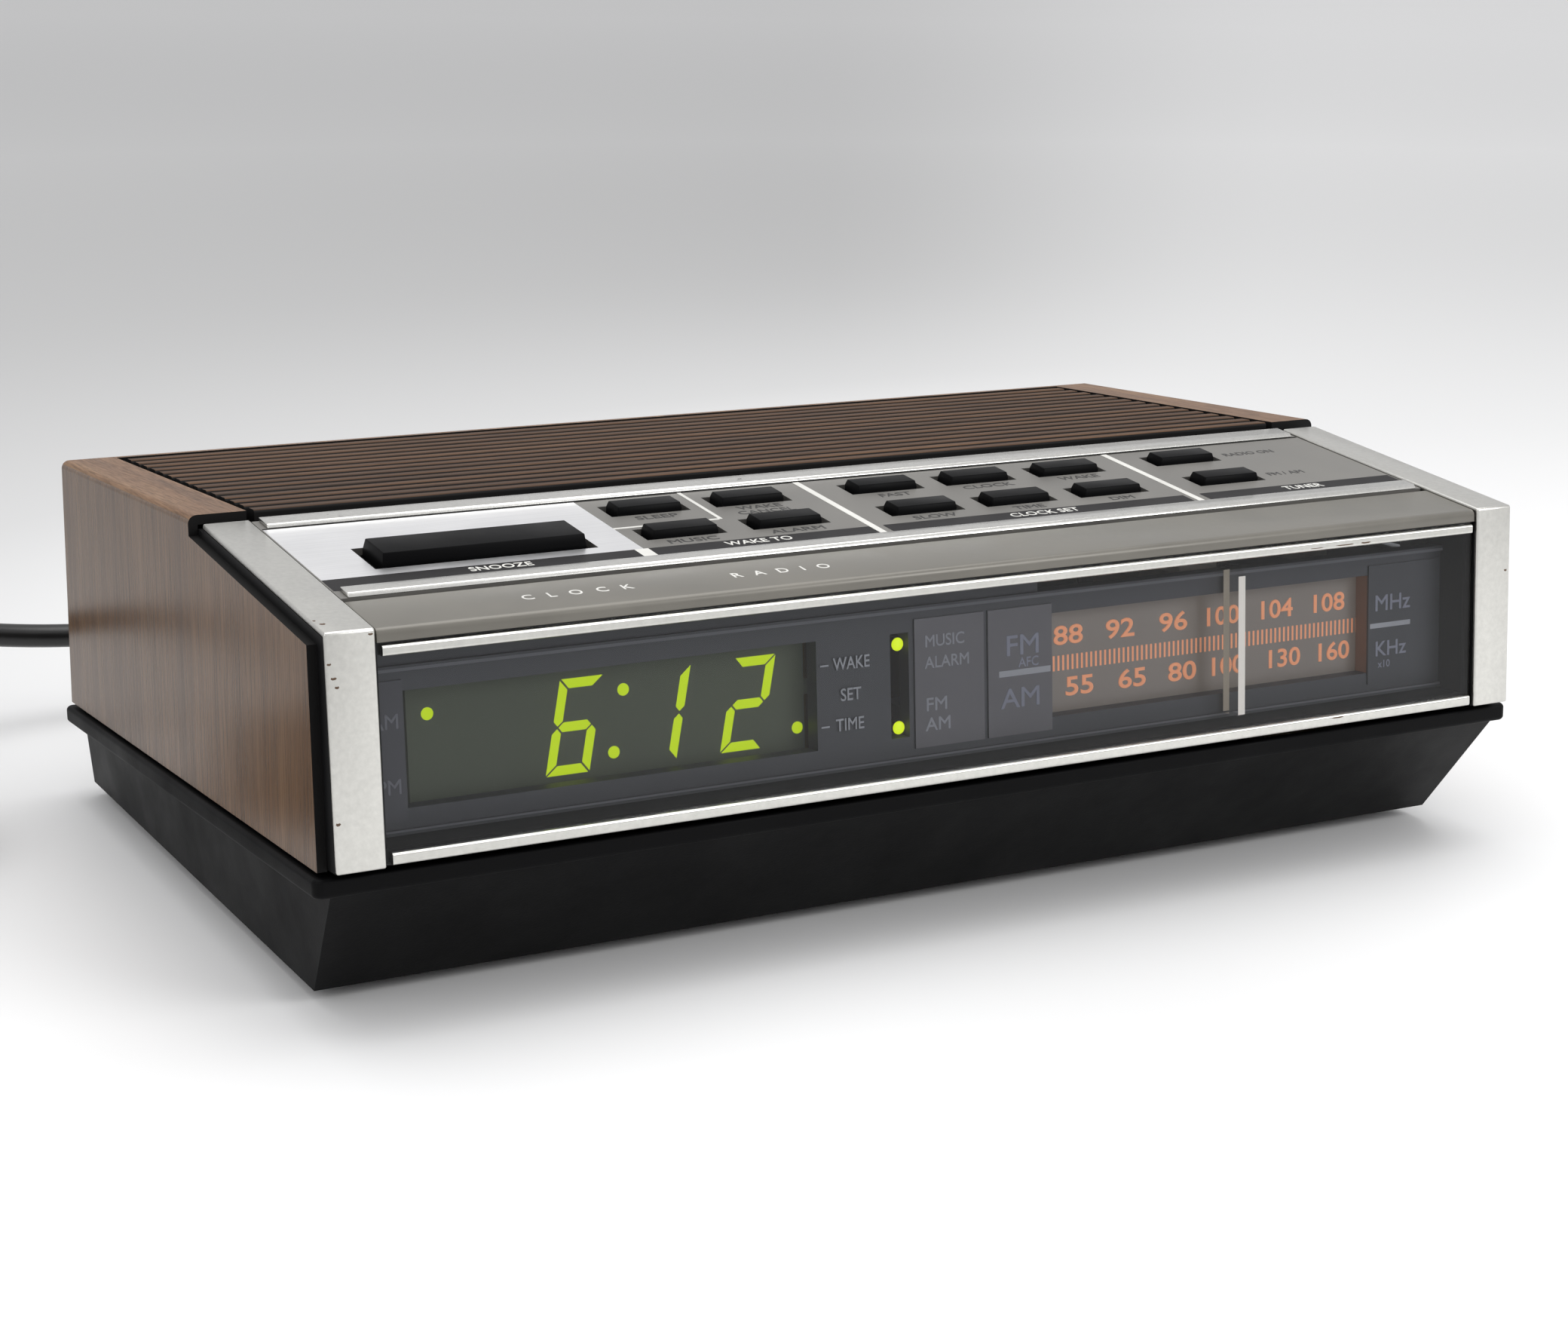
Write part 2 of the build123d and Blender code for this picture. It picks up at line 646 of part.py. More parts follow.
def board_components():
    """The taller parts on the main board: coil cans, electrolytics, a chip and a heat sink."""
    parts = [block((x, x + 9), (48, 57), (BOARD_Z, BOARD_Z + 13)) for x in (-40, -24, -8, 8)]
    parts += [disc(x, 75, (BOARD_Z, BOARD_Z + 18), 5) for x in (-40, -26, -12)]
    parts += [disc(x, 92, (BOARD_Z, BOARD_Z + 12), 4) for x in (-40, -28, -16)]
    parts.append(block((4, 30), (78, 86), (BOARD_Z + 0.5, BOARD_Z + 4)))
    parts.append(block((40, 76), (76, 79), (BOARD_Z, BOARD_Z + 22)))
    return group(parts)


def transformer_core():
    """A laminated core with its window filled by the winding."""
    x, y = TRANSFORMER_AT
    core = block((x - 24, x + 24), (y - 11, y + 11), (8, 48))
    for dx in (-16, 8):
        core -= block((x + dx, x + dx + 8), (y - 20, y + 20), (16, 40))
    feet = block((x - 33, x + 33), (y - 11, y + 11), (6.4, 8))
    return core + feet


def transformer_winding():
    x, y = TRANSFORMER_AT
    winding = block((x - 15.8, x + 15.8), (y - 18, y + 18), (16.2, 39.8))
    return winding - block((x - 8, x + 8), (y - 11, y + 11), (10, 46))


def turned(points, at):
    """A ring or cup turned about the upright axis at (x, y), from its (radius, z) outline."""
    outline = make_face(Polyline(*[(r, 0, z) for r, z in points], close=True))
    return Pos(at[0], at[1], 0) * revolve(outline, Axis.Z)


def speaker_frame():
    top = SPEAKER_TOP
    frame = turned(
        [
            (SPEAKER_RADIUS - 5, top),
            (SPEAKER_RADIUS, top),
            (SPEAKER_RADIUS, top - 2),
            (SPEAKER_RADIUS - 4, top - 2),
            (18, top - 18),
            (8, top - 18),
            (8, top - 16.8),
            (17.4, top - 16.8),
            (SPEAKER_RADIUS - 5, top - 1.6),
        ],
        SPEAKER_AT,
    )
    openings = [
        Pos(*SPEAKER_AT, top - 10) * Rot(0, 0, a) * Pos(26, 0, 0) * Box(16, 14, 12)
        for a in (45, 135, 225, 315)
    ]
    return frame - openings


def speaker_cone():
    top = SPEAKER_TOP
    return turned(
        [
            (32.6, top - 0.2),
            (32.9, top - 0.9),
            (7.5, top - 12.6),
            (0, top - 9.2),
            (0, top - 8.4),
            (7.5, top - 11.6),
        ],
        SPEAKER_AT,
    )


def speaker_magnet():
    return disc(*SPEAKER_AT, (SPEAKER_TOP - 30, SPEAKER_TOP - 18.1), MAGNET_RADIUS)


def ferrite_rod():
    return lying_rod((-40, 60), FERRITE_Y, FERRITE_Z, FERRITE_RADIUS)


def antenna_coil():
    """The coil former on the rod, with its two saddle feet down to the board."""
    former = lying_rod((-30, 6), FERRITE_Y, FERRITE_Z, FERRITE_RADIUS + 1.5)
    foot = block((-20, -8), (FERRITE_Y - 5, FERRITE_Y - 1), (BOARD_Z, FERRITE_Z - 3))
    return former + foot - lying_rod((-50, 70), FERRITE_Y, FERRITE_Z, FERRITE_RADIUS)


# ---- tuning and volume ----
def thumbwheel(y):
    """A thumbwheel with a serrated rim, its face dished."""
    wheel = disc(WHEEL_X, y, WHEEL_Z, WHEEL_RADIUS)
    wheel -= disc(WHEEL_X, y, (WHEEL_Z[1] - 1.2, WHEEL_Z[1] + 1), WHEEL_RADIUS - 4)
    notches = [
        Pos(WHEEL_X, y, sum(WHEEL_Z) / 2)
        * Rot(0, 0, 360 * i / WHEEL_TEETH)
        * Pos(WHEEL_RADIUS + 0.3, 0, 0)
        * Cylinder(0.9, 8)
        for i in range(WHEEL_TEETH)
    ]
    return wheel - notches - disc(WHEEL_X, y, (40, 70), SHAFT_RADIUS)


def control_shaft(y, top):
    return disc(WHEEL_X, y, (CONTROL_TOP - 6, top), SHAFT_RADIUS)


def dial_drum():
    """The string drum on the tuning shaft, with its groove."""
    z = (STRING_Z - 2, STRING_Z + 2)
    drum = disc(WHEEL_X, TUNING_Y, z, DRUM_RADIUS + 1.0)
    groove = disc(WHEEL_X, TUNING_Y, (STRING_Z - 0.8, STRING_Z + 0.8), DRUM_RADIUS + 2)
    groove -= disc(WHEEL_X, TUNING_Y, z, DRUM_RADIUS - 0.8)
    spacer = disc(WHEEL_X, TUNING_Y, (WHEEL_Z[1] - 1.2, z[0]), 6)
    return drum - groove + spacer - disc(WHEEL_X, TUNING_Y, (40, 70), SHAFT_RADIUS)


def control_housing(y, half):
    """A tuning capacitor or volume control: a box with a blind bore for the shaft."""
    x = (WHEEL_X - half, WHEEL_X + half)
    box = block(x, (y - half, y + half), (24, CONTROL_TOP))
    stand = block(x, (y - 3, y + 3), (floor_z(y) + TUB_WALL + 0.6, 24))
    return box + stand - disc(WHEEL_X, y, (CONTROL_TOP - 6.5, 60), SHAFT_RADIUS + RUNNING_GAP)


def string_line():
    """y of the string's front run, and the idler's axis."""
    front = TUNING_Y - DRUM_RADIUS
    return front, front + IDLER_RADIUS


def dial_idler():
    _, y = string_line()
    z = (STRING_Z - 2, STRING_Z + 2)
    pulley = disc(IDLER_X, y, z, IDLER_RADIUS + 1.0)
    groove = disc(IDLER_X, y, (STRING_Z - 0.8, STRING_Z + 0.8), IDLER_RADIUS + 2)
    groove -= disc(IDLER_X, y, z, IDLER_RADIUS - 0.8)
    return pulley - groove - disc(IDLER_X, y, (40, 70), 1.5 + RUNNING_GAP)


def dial_string():
    """The loop of cord round the drum and the idler."""
    front, idler_y = string_line()
    span = WHEEL_X - IDLER_X
    offset = hypot(span, TUNING_Y - idler_y)
    lean = atan2(TUNING_Y - idler_y, span) + asin((DRUM_RADIUS - IDLER_RADIUS) / offset)
    side = (-sin(lean), cos(lean))
    drum_in = (WHEEL_X + DRUM_RADIUS * side[0], TUNING_Y + DRUM_RADIUS * side[1])
    idler_out = (IDLER_X + IDLER_RADIUS * side[0], idler_y + IDLER_RADIUS * side[1])
    z = STRING_Z
    turn = degrees(lean) + 180
    path = Wire(
        [
            Edge.make_line((IDLER_X, front, z), (WHEEL_X, front, z)),
            Edge.make_circle(
                DRUM_RADIUS,
                Plane((WHEEL_X, TUNING_Y, z)),
                -90,
                degrees(lean) + 90,
            ),
            Edge.make_line((*drum_in, z), (*idler_out, z)),
            Edge.make_circle(
                IDLER_RADIUS, Plane((IDLER_X, idler_y, z)), turn - 90, 270
            ),
        ]
    )
    section = Plane(origin=path @ 0, z_dir=path % 0) * Circle(STRING_RADIUS)
    return sweep(section, path=path)


def pointer_rail():
    return lying_rod(RAIL_X, RAIL_Y, RAIL_Z, RAIL_RADIUS)


def rail_brackets():
    """Two steel brackets off the bezel that hold the rail; the left one has the idler's pin."""
    _, idler_y = string_line()
    left = block((-8, -6), (15.8, 44), (54, 64)) + block((-6, -2), (21, 28), (57.7, 64))
    left += block((-12, -6), (15.8, 17.4), (58.6, 60.4))
    left += block((-7, IDLER_X + 5), (idler_y - 5, idler_y + 5), (54, 56))
    left += disc(IDLER_X, idler_y, (56, 64), 1.5)
    right = block((139, 140.9), (19, 28), (54, 64)) + block((132, 139), (21, 28), (57.7, 64))
    hole = lying_rod((-20, 142), RAIL_Y, RAIL_Z, RAIL_RADIUS)
    return group([left - hole, right - hole])


def pointer_carriage():
    """The slider on the rail, with a clamp slot for the string."""
    front, _ = string_line()
    body = block((POINTER_X - 5, POINTER_X + 5), (21.0, 32.5), (58.6, 64.0))
    body -= lying_rod((0, 140), RAIL_Y, RAIL_Z, RAIL_RADIUS + RUNNING_GAP)
    return body - block(
        (POINTER_X - 6, POINTER_X + 6), (front - 0.7, front + 0.7), (STRING_Z - 0.8, 70)
    )


def dial_pointer():
    """The clear blade in front of the dial, on an arm over the mask."""
    x = (POINTER_X - POINTER_THICK / 2, POINTER_X + POINTER_THICK / 2)
    outline = [
        front_point(4.6, POINTER_OUT),
        front_point(35.6, POINTER_OUT),
        front_point(37.7, POINTER_OUT - 2),
        (21.0, front_point(37.7, -21)[1]),
        (21.0, front_point(36.4, -21)[1]),
        front_point(36.4, -9.6),
        front_point(4.6, -9.6),
    ]
    return prism(outline, *x)


# ---- mains lead, in the row frame ----
def route_radii(points):
    """The largest tangent arc that each corner's two runs allow."""
    radii = []
    for before, here, after in zip(points, points[1:], points[2:]):
        arriving = Vector(*here) - Vector(*before)
        leaving = Vector(*after) - Vector(*here)
        half_turn = radians(arriving.get_angle(leaving)) / 2
        radii.append(0.45 * min(arriving.length, leaving.length) / tan(half_turn))
    return radii


def cord_tube(name, points):
    """A round tube of straight runs joined by tangent arcs."""
    radii = route_radii(points)
    path = FilletPolyline(*points, radius=radii)
    print(name, "length", round(path.length, 1), "least radius", round(min(radii), 1))
    start = Plane(origin=path @ 0, z_dir=path % 0)
    return sweep(start * Circle(CORD_RADIUS), path=path)


def cord_coil():
    """The outer shape of the wound part of the lead."""
    low, high = COIL_RADII[0] - CORD_RADIUS, COIL_RADII[1] + CORD_RADIUS
    ring = Pos(*COIL_CENTRE, 0) * extrude(Circle(high) - Circle(low), COIL_HEIGHT)
    ring = fillet(ring.edges().filter_by(GeomType.CIRCLE), 2.4)
    wound = pi * sum(COIL_RADII) * COIL_TURNS * COIL_LAYERS
    print("coil holds", round(wound))
    return ring


def power_plug():
    """A flat two-pin plug, its grip waisted, lying beside the coil."""
    x, y, z = PLUG_ROUTE[-1]
    wide, long, thick = PLUG_SIZE
    body = block((x - wide / 2, x + wide / 2), (y - long, y - 8), (z - thick / 2, z + thick / 2))
    body = fillet(body.edges().filter_by(Axis.Y), 4.0)
    neck = Plane(origin=(x, y, z), x_dir=(1, 0, 0), z_dir=(0, -1, 0))
    return body + loft([neck * Rectangle(7.5, 7.5), neck.offset(8) * Rectangle(wide - 6, thick - 3)])


def plug_blades():
    x, y, z = PLUG_ROUTE[-1]
    face = y - PLUG_SIZE[1]
    blades = []
    for side in (-1, 1):
        middle = x + side * 6.35
        blade = block((middle - 0.75, middle + 0.75), (face - 17, face), (z - 3.2, z + 3.2))
        hole = Pos(middle, face - 13, z) * Rot(0, 90, 0) * Cylinder(1.5, 4)
        blades.append(blade - hole)
    return group(blades)


def strain_relief():
    """The tapered rubber boot on the back wall; it starts flush with the wall."""
    x, z = RELIEF_AT
    y = back_wall_y(z) + RELIEF_STEP
    wall = Plane(origin=(x, y, z), z_dir=(0, 1, 0))
    boot = loft(
        [wall * Circle(5.4), wall.offset(RELIEF_LENGTH) * Circle(CORD_RADIUS + 0.5)]
    )
    collar = extrude(wall * Circle(6.4), amount=1.6)
    spigot = extrude(wall * Circle(RELIEF_HOLE - 0.1), amount=-3.5)
    return boot + collar + spigot


# ---- placing ----
def placed(piece):
    """A piece of the cabinet, tilted and set down in the row frame."""
    return Pos(0, ROW_Y, ROW_Z) * Rot(-TILT, 0, 0) * piece


def tilted(y, z):
    """(y, z) after the cabinet's tilt, before it is set down."""
    lean = radians(TILT)
    return y * cos(lean) + z * sin(lean), z * cos(lean) - y * sin(lean)


ROW_Z = FOOT_HEIGHT - tilted(*TUB_FRONT_BOTTOM)[1]
FRONTMOST = tilted(0, FRONT_BOTTOM)[0]
REARMOST = tilted(FLANGE_Y[1], FLANGE_Z[1])[0]
ROW_Y = -(FRONTMOST + REARMOST) / 2

left_band = side_band()
cabinet_pieces = {
    "cabinet_shell": cabinet_shell(),
    "speaker_grille": speaker_grille(),
    "left_band": left_band,
    "right_band": mirror(left_band, about=Plane.YZ),
    "front_bezel": front_bezel(),
    "fascia_strip": fascia_strip(),
    "upper_panel_bar": panel_bar(*UPPER_BAR),
    "lower_panel_bar": panel_bar(*LOWER_BAR),
    "window_trims": group([window_trim(*TOP_TRIM), window_trim(*BOTTOM_TRIM)]),
    "control_panel": control_panel(),
    "window_lens": window_lens(),
    "display_mask": display_mask(),
    "display_filter": behind_opening(DISPLAY, 1.5, MASK_IN, FILTER_IN),
    "dial_scale": behind_opening(DIAL, 2.0, MASK_IN, FILTER_IN),
    "vfd_tube": vfd_tube(),
    "clock_board": clock_board(),
    "small_lamps": group([*lamp_pair(), *dial_lamps()]),
    "snooze_bar": snooze_bar(),
    "switch_board": group([switch_board(), *switch_bank()]),
    "base_tub": base_tub(),
    "rubber_feet": rubber_feet(),
    "case_screws": case_screws(),
    "main_board": main_board(),
    "board_components": board_components(),
    "transformer_core": transformer_core(),
    "transformer_winding": transformer_winding(),
    "speaker_frame": speaker_frame(),
    "speaker_cone": speaker_cone(),
    "speaker_magnet": speaker_magnet(),
    "ferrite_antenna": group([ferrite_rod(), antenna_coil()]),
    "tuning_wheel": thumbwheel(TUNING_Y),
    "tuning_shaft": control_shaft(TUNING_Y, STRING_Z + 3),
    "dial_drum": dial_drum(),
    "tuning_capacitor": control_housing(TUNING_Y, 12),
    "volume_wheel": thumbwheel(VOLUME_Y),
    "volume_shaft": control_shaft(VOLUME_Y, WHEEL_Z[1] + 1),
    "volume_control": control_housing(VOLUME_Y, 10),
    "dial_idler": dial_idler(),
    "dial_string": dial_string(),
    "pointer_rail": pointer_rail(),
    "rail_brackets": rail_brackets(),
    "pointer_carriage": pointer_carriage(),
    "dial_pointer": dial_pointer(),
    "strain_relief": strain_relief(),
}
cabinet_pieces.update({name: small_key(x, row) for name, (x, row) in SMALL_KEYS.items()})
pieces = {name: placed(piece) for name, piece in cabinet_pieces.items()}
pieces["power_cord"] = group([cord_tube("lead", CORD_ROUTE), cord_tube("plug end", PLUG_ROUTE)])
pieces["cord_coil"] = cord_coil()
pieces["power_plug"] = power_plug()
pieces["plug_blades"] = plug_blades()

os.makedirs("parts", exist_ok=True)
for name, piece in pieces.items():
    export_step(piece, f"parts/{name}.step")
print(len(pieces), "nodes, row shift", round(ROW_Y, 3), round(ROW_Z, 3))
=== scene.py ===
"""The looks of a 1970s table clock radio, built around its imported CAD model.

Everything is in the frame of the CAD model: metres, X to the right, Y to the back, Z up, the
radio's feet on z = 0. The cabinet leans back on its raked base, so what is drawn on it is placed
on three planes of the cabinet in millimetres: FRONT (x, height up the window, out), SLOPE (x, distance
up the key panel, out) and TOP (x, y, out).
"""

import json
import math

import bmesh
import bpy
from mathutils import Matrix, Vector


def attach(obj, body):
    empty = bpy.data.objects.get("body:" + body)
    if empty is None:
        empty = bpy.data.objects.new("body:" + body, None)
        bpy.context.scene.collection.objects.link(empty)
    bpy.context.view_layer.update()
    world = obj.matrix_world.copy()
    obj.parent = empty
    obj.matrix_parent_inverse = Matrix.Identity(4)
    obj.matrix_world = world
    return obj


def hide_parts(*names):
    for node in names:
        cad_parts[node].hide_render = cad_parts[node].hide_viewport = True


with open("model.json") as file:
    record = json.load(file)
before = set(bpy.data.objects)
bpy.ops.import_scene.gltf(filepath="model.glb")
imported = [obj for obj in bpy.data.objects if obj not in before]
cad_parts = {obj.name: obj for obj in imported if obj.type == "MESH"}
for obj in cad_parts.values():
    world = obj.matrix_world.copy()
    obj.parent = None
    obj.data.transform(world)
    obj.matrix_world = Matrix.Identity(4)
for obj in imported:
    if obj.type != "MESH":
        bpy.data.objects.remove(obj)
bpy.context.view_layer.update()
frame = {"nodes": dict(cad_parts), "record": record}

bodies = frame["record"]["behaviour"]["bodies"]
slot_of = {part["node"]: part["material_slot"] for part in frame["record"]["subparts"]}

MM = 0.001

# ---- the cabinet's planes ----
TILT = math.radians(3.61)
CABINET_AT = Vector((0.0, -90.337, 9.291)) * MM
FRONT_LEAN = math.radians(1.56)
FRONT_BOTTOM = 24.74
FRONT_HEIGHT = 45.35
SLOPE_RISE = math.radians(8.57)
CABINET_TOP = 82.0
CABINET_HALF = 143.0
CABINET_BACK = 171.9
RAIL_INSIDE = 130.6  # the top's wooden rails lie beyond this on each side
SKIN_DEPTH = 2.0  # how far in from the cabinet's outside a face still counts as its skin
LEVEL_SLACK = 0.1  # how far below the top a face still counts as level with it
RIB_CROWN = 1.0  # how far below the top the crowns of the ribs reach
CLOTH = ((-128.5, 128.5), (76.0, 169.0), (-5.1, -5.02))  # x, y and levels of the grille cloth

# ---- levels of the faces, in millimetres out of their plane ----
PANEL_OUT = -0.5
MASK_OUT = -10.6
LABEL_OUT = MASK_OUT + 0.4
DIAL_OUT = -14.6
TUBE_OUT = -16.4
INK = 0.02  # thickness of printed lettering
FONT_CAP = 0.682  # capital height of the built-in font at size 1
FONT_WEIGHT = 0.018  # how far strokes are thickened, as a share of the capital height

# ---- how far the edges of the mouldings are rounded, in millimetres ----
SILVER_ROUND, BAR_ROUND, FASCIA_ROUND = 0.45, 0.25, 0.15
KEY_ROUND, SNOOZE_ROUND, BASE_ROUND = 0.18, 0.22, 0.4
MERGE_DISTANCE = 0.002
FLAT_ANGLE = math.radians(0.6)  # faces that meet at less than this are joined before rounding

# ---- the clock's digits ----
DIGIT_HEIGHT, DIGIT_WIDTH = 19.1, 9.4
DIGIT_STROKE = 1.9
DIGIT_GAP = 0.28
DIGIT_SLANT = math.radians(11.5)
DIGIT_BOTTOM = 9.2
DIGITS = [(-91.6, "6"), (-72.4, "1"), (-53.1, "2")]  # left edge, digit
SEGMENTS = {"6": "acdefg", "1": "bc", "2": "abdeg"}
DIGIT_DOTS = [(-115.7, 24.8), (-74.2, 24.8), (-76.7, 12.4), (-35.2, 12.4)]
DOT_RADIUS = 1.25
DIGIT_LEVELS = (TUBE_OUT, TUBE_OUT + 0.1)
DISC_SIDES = 28
DOME_ANGLES = (0.5, 0.95, 1.3)  # where the rings of a domed disc lie, from its rim to its middle

# ---- the two lamps ----
LAMP_AT = [(-13.4, 28.0), (-13.4, 10.4)]
LAMP_RADIUS, LAMP_DOME = 1.4, 0.5
LAMP_LEVELS = (-12.4, -12.35)

# ---- the key panel, up the slope ----
PANEL_LOW, PANEL_HIGH = 23.6, 65.4  # between the two bars
PANEL_HALF = 130.6
PLATE = (PANEL_OUT, PANEL_OUT + 0.05)
PRINT = (PLATE[1], PLATE[1] + 0.02)
ALUMINIUM_X = (-PANEL_HALF, -62.1)
SNOOZE_HOLE = ((-118.3, -70.5), (34.1, 47.9))
BAND_UP = (PANEL_LOW, 30.5)
DARK_BANDS = [(-PANEL_HALF, -64.2), (-61.1, -9.4), (-5.9, 71.9), (76.5, 130.4)]
WHITE_LINES = [
    ((-64.2, -61.1), BAND_UP),
    ((-37.65, -36.75), (44.8, PANEL_HIGH)),
    ((-62.1, -37.65), (44.4, 45.2)),
    ((-9.2, -7.6), (PANEL_LOW, PANEL_HIGH)),
    ((73.0, 74.6), (PANEL_LOW, PANEL_HIGH)),
]
BAR_SHADOW = 0.5  # how far the upper bar's shadow line reaches down
BAND_WORDS_UP, BAND_WORDS_CAP = 27.2, 2.3
BAND_WORDS = [("SNOOZE", -94.3), ("WAKE TO", -36.7), ("CLOCK SET", 33.5), ("TUNER", 104.0)]
KEY_WORDS = [  # text, x, up, capital height, align, stretch
    ("SLEEP", -49.5, 49.2, 2.2, "CENTER", 1.25),
    ("MUSIC", -49.5, 32.1, 2.2, "CENTER", 1.25),
    ("WAKE", -24.9, 49.6, 2.1, "CENTER", 1.2),
    ("CANCEL", -24.9, 46.4, 2.1, "CENTER", 1.15),
    ("ALARM", -24.9, 32.1, 2.2, "CENTER", 1.25),
    ("FAST", 8.6, 49.2, 2.1, "CENTER", 1.2),
    ("SLOW", 8.6, 32.1, 2.1, "CENTER", 1.25),
    ("CLOCK", 32.7, 49.2, 2.1, "CENTER", 1.25),
    ("TIME", 32.7, 32.1, 2.1, "CENTER", 1.2),
    ("WAKE", 57.2, 49.2, 2.1, "CENTER", 1.2),
    ("DIM", 57.2, 32.1, 2.1, "CENTER", 1.2),
    ("RADIO ON", 102.3, 55.4, 2.1, "LEFT", 0.95),
    ("FM / AM", 102.3, 38.3, 2.1, "LEFT", 0.95),
]
FASCIA_WORDS_UP, FASCIA_WORDS_CAP, FASCIA_SPACING = 7.9, 2.5, 2.5
FASCIA_WORDS = [("CLOCK", -86.6), ("RADIO", -42.0)]

# ---- behind the window ----
MASK_HALF = 129.8
LABEL_UP = (6.0, 33.2)
LABEL_PLATE = (LABEL_OUT, LABEL_OUT + 0.03)
LEFT_LABEL, MIDDLE_LABELS = (-MASK_HALF, -122.9), [(-10.6, 6.3), (7.3, 23.3)]
LEDGE_LINES = [(4.0, 4.4), (34.9, 35.5)]  # heights of the painted highlights on the lit edges of the mask's two ledges
LEDGE_LEVELS = (MASK_OUT + 0.85, MASK_OUT + 0.87)
MASK_HEAD_LEVELS = (MASK_OUT - 0.3, MASK_OUT)
MASK_HEAD = [  # the mask's upper part, which leaves a slot for the pointer's arm
    ((-MASK_HALF, 20.0), (35.9, 39.8), MASK_HEAD_LEVELS),
    ((20.0, MASK_HALF), (38.0, 39.8), MASK_HEAD_LEVELS),
]
CLOCK_WORDS = [
    ("WAKE", -25.6, 24.6, 2.5, "CENTER", 0.82),
    ("SET", -25.9, 18.1, 2.5, "CENTER", 0.86),
    ("TIME", -26.2, 11.9, 2.5, "CENTER", 0.86),
]
LAMP_WORDS = [
    ("MUSIC", -8.2, 27.1, 2.4, "LEFT", 0.96),
    ("ALARM", -8.2, 22.6, 2.4, "LEFT", 0.97),
    ("FM", -8.2, 13.6, 2.7, "LEFT", 1.12),
    ("AM", -8.2, 9.4, 2.7, "LEFT", 1.10),
]
HALF_DAY_WORDS = [("AM", -123.7, 24.0, 2.8, "RIGHT", 1.0), ("PM", -123.7, 11.4, 2.8, "RIGHT", 1.0)]
BAND_NAMES = [
    ("FM", 15.9, 23.1, 4.2, "CENTER", 1.16),
    ("AFC", 17.4, 20.4, 2.0, "CENTER", 0.95),
    ("AM", 15.4, 11.9, 4.1, "CENTER", 1.16),
    ("MHz", 115.6, 22.7, 3.5, "CENTER", 1.05),
    ("KHz", 115.2, 12.3, 3.3, "CENTER", 1.05),
    ("x10", 113.4, 9.6, 1.6, "CENTER", 1.0),
]
LABEL_LINES = [
    ((10.0, 22.9), (18.65, 19.95)),
    ((109.3, 120.9), (18.75, 19.85)),
    ((-32.9, -31.0), (25.6, 25.95)),
    ((-32.9, -31.0), (12.9, 13.25)),
]

# ---- the dial and its pointer ----
DIAL_PRINT = DIAL_OUT + 0.01
# the right wall of the dial's opening, which carries a painted glow
DIAL_WALL_PAINTED_GLOW = ((108.68, 108.76), (8.7, 30.9), (DIAL_OUT + 0.1, MASK_OUT - 0.1))
FM_MARKS = [("88", 30.4), ("92", 43.9), ("96", 58.0), ("100", 70.9), ("104", 85.8), ("108", 100.5)]
AM_MARKS = [("55", 33.3), ("65", 47.1), ("80", 60.4), ("100", 72.3), ("130", 88.0), ("160", 102.0)]
FM_UP, AM_UP, MARK_CAP = 23.2, 11.9, 3.9
MARK_STRETCH = {2: 1.36, 3: 1.18}  # how much the numbers are widened, by their count of digits
MARK_WEIGHT = 0.03
TICK_START, TICK_PITCH, TICK_WIDTH, TICK_COUNT = 25.2, 1.21, 0.5, 70
TICK_UP = (17.5, 20.8)
POINTER_X = 68.7
POINTER_EDGE_DEPTH = 0.06
POINTER_EDGES = [  # name, half width, up, out, whether it is the bright one
    ("pointer_edge", 0.9, (4.8, 35.4), -4.2, True),
    ("pointer_back_edge", 0.8, (4.8, 36.2), -9.7, False),
]

# ---- the camera, at the viewing angle that the radio was seen from ----
CAMERA_AT = Vector((-312.8, -570.4, 211.4)) * MM
CAMERA_AZIMUTH = math.radians(-28.79)
CAMERA_DOWN = math.radians(15.03)
CAMERA_ROLL = math.radians(1.10)
CAMERA_LENS = 66.57

# ---- the mains lead ----
CORD_RADIUS = 3.0 * MM
CORD_ROUTE = [
    (-0.0880, 0.1107, 0.0267),
    (-0.0886, 0.1285, 0.0254),
    (-0.0985, 0.1450, 0.0223),
    (-0.1160, 0.1525, 0.0206),
    (-0.1370, 0.1510, 0.0226),
    (-0.1575, 0.1460, 0.0270),
    (-0.1800, 0.1390, 0.0276),
    (-0.2030, 0.1305, 0.0205),
    (-0.2300, 0.1185, 0.0095),
    (-0.2490, 0.1005, 0.0036),
    (-0.2574, 0.0805, 0.0031),
]
PLUG_ROUTE = [
    (-0.2592, 0.0440, 0.0082),
    (-0.2588, 0.0270, 0.0066),
]
COIL_CENTRE = Vector((-0.216, 0.062, 0.0))
COIL_OUTER, COIL_INNER = 42.0 * MM, 24.0 * MM
COIL_TURNS = 3  # in each of the two layers
COIL_STEPS = 16  # points in a turn
LAYER_LOW, LAYER_HIGH = 3.1 * MM, 9.1 * MM
RISE_STEPS = 5
PLUG_SECTIONS = [  # distance from the cord's end, half width, half thickness, squareness
    (0.0, 3.7, 3.7, 2.0),
    (1.8, 3.9, 3.9, 2.0),
    (2.0, 4.5, 4.3, 2.0),
    (3.2, 4.5, 4.3, 2.0),
    (3.4, 4.1, 4.0, 2.0),
    (4.6, 4.4, 4.2, 2.0),
    (4.8, 5.3, 4.6, 2.1),
    (6.0, 5.5, 4.6, 2.2),
    (6.2, 5.6, 4.4, 2.3),
    (8.5, 9.2, 5.4, 2.8),
    (11.0, 11.0, 6.2, 3.2),
    (13.5, 11.3, 6.5, 3.4),
    (19.0, 10.2, 6.5, 3.6),
    (25.0, 10.9, 6.5, 3.6),
    (29.8, 11.5, 6.5, 3.6),
    (30.6, 11.3, 6.2, 3.6),
    (31.0, 10.8, 5.7, 3.6),
]
PLUG_SIDES = 32
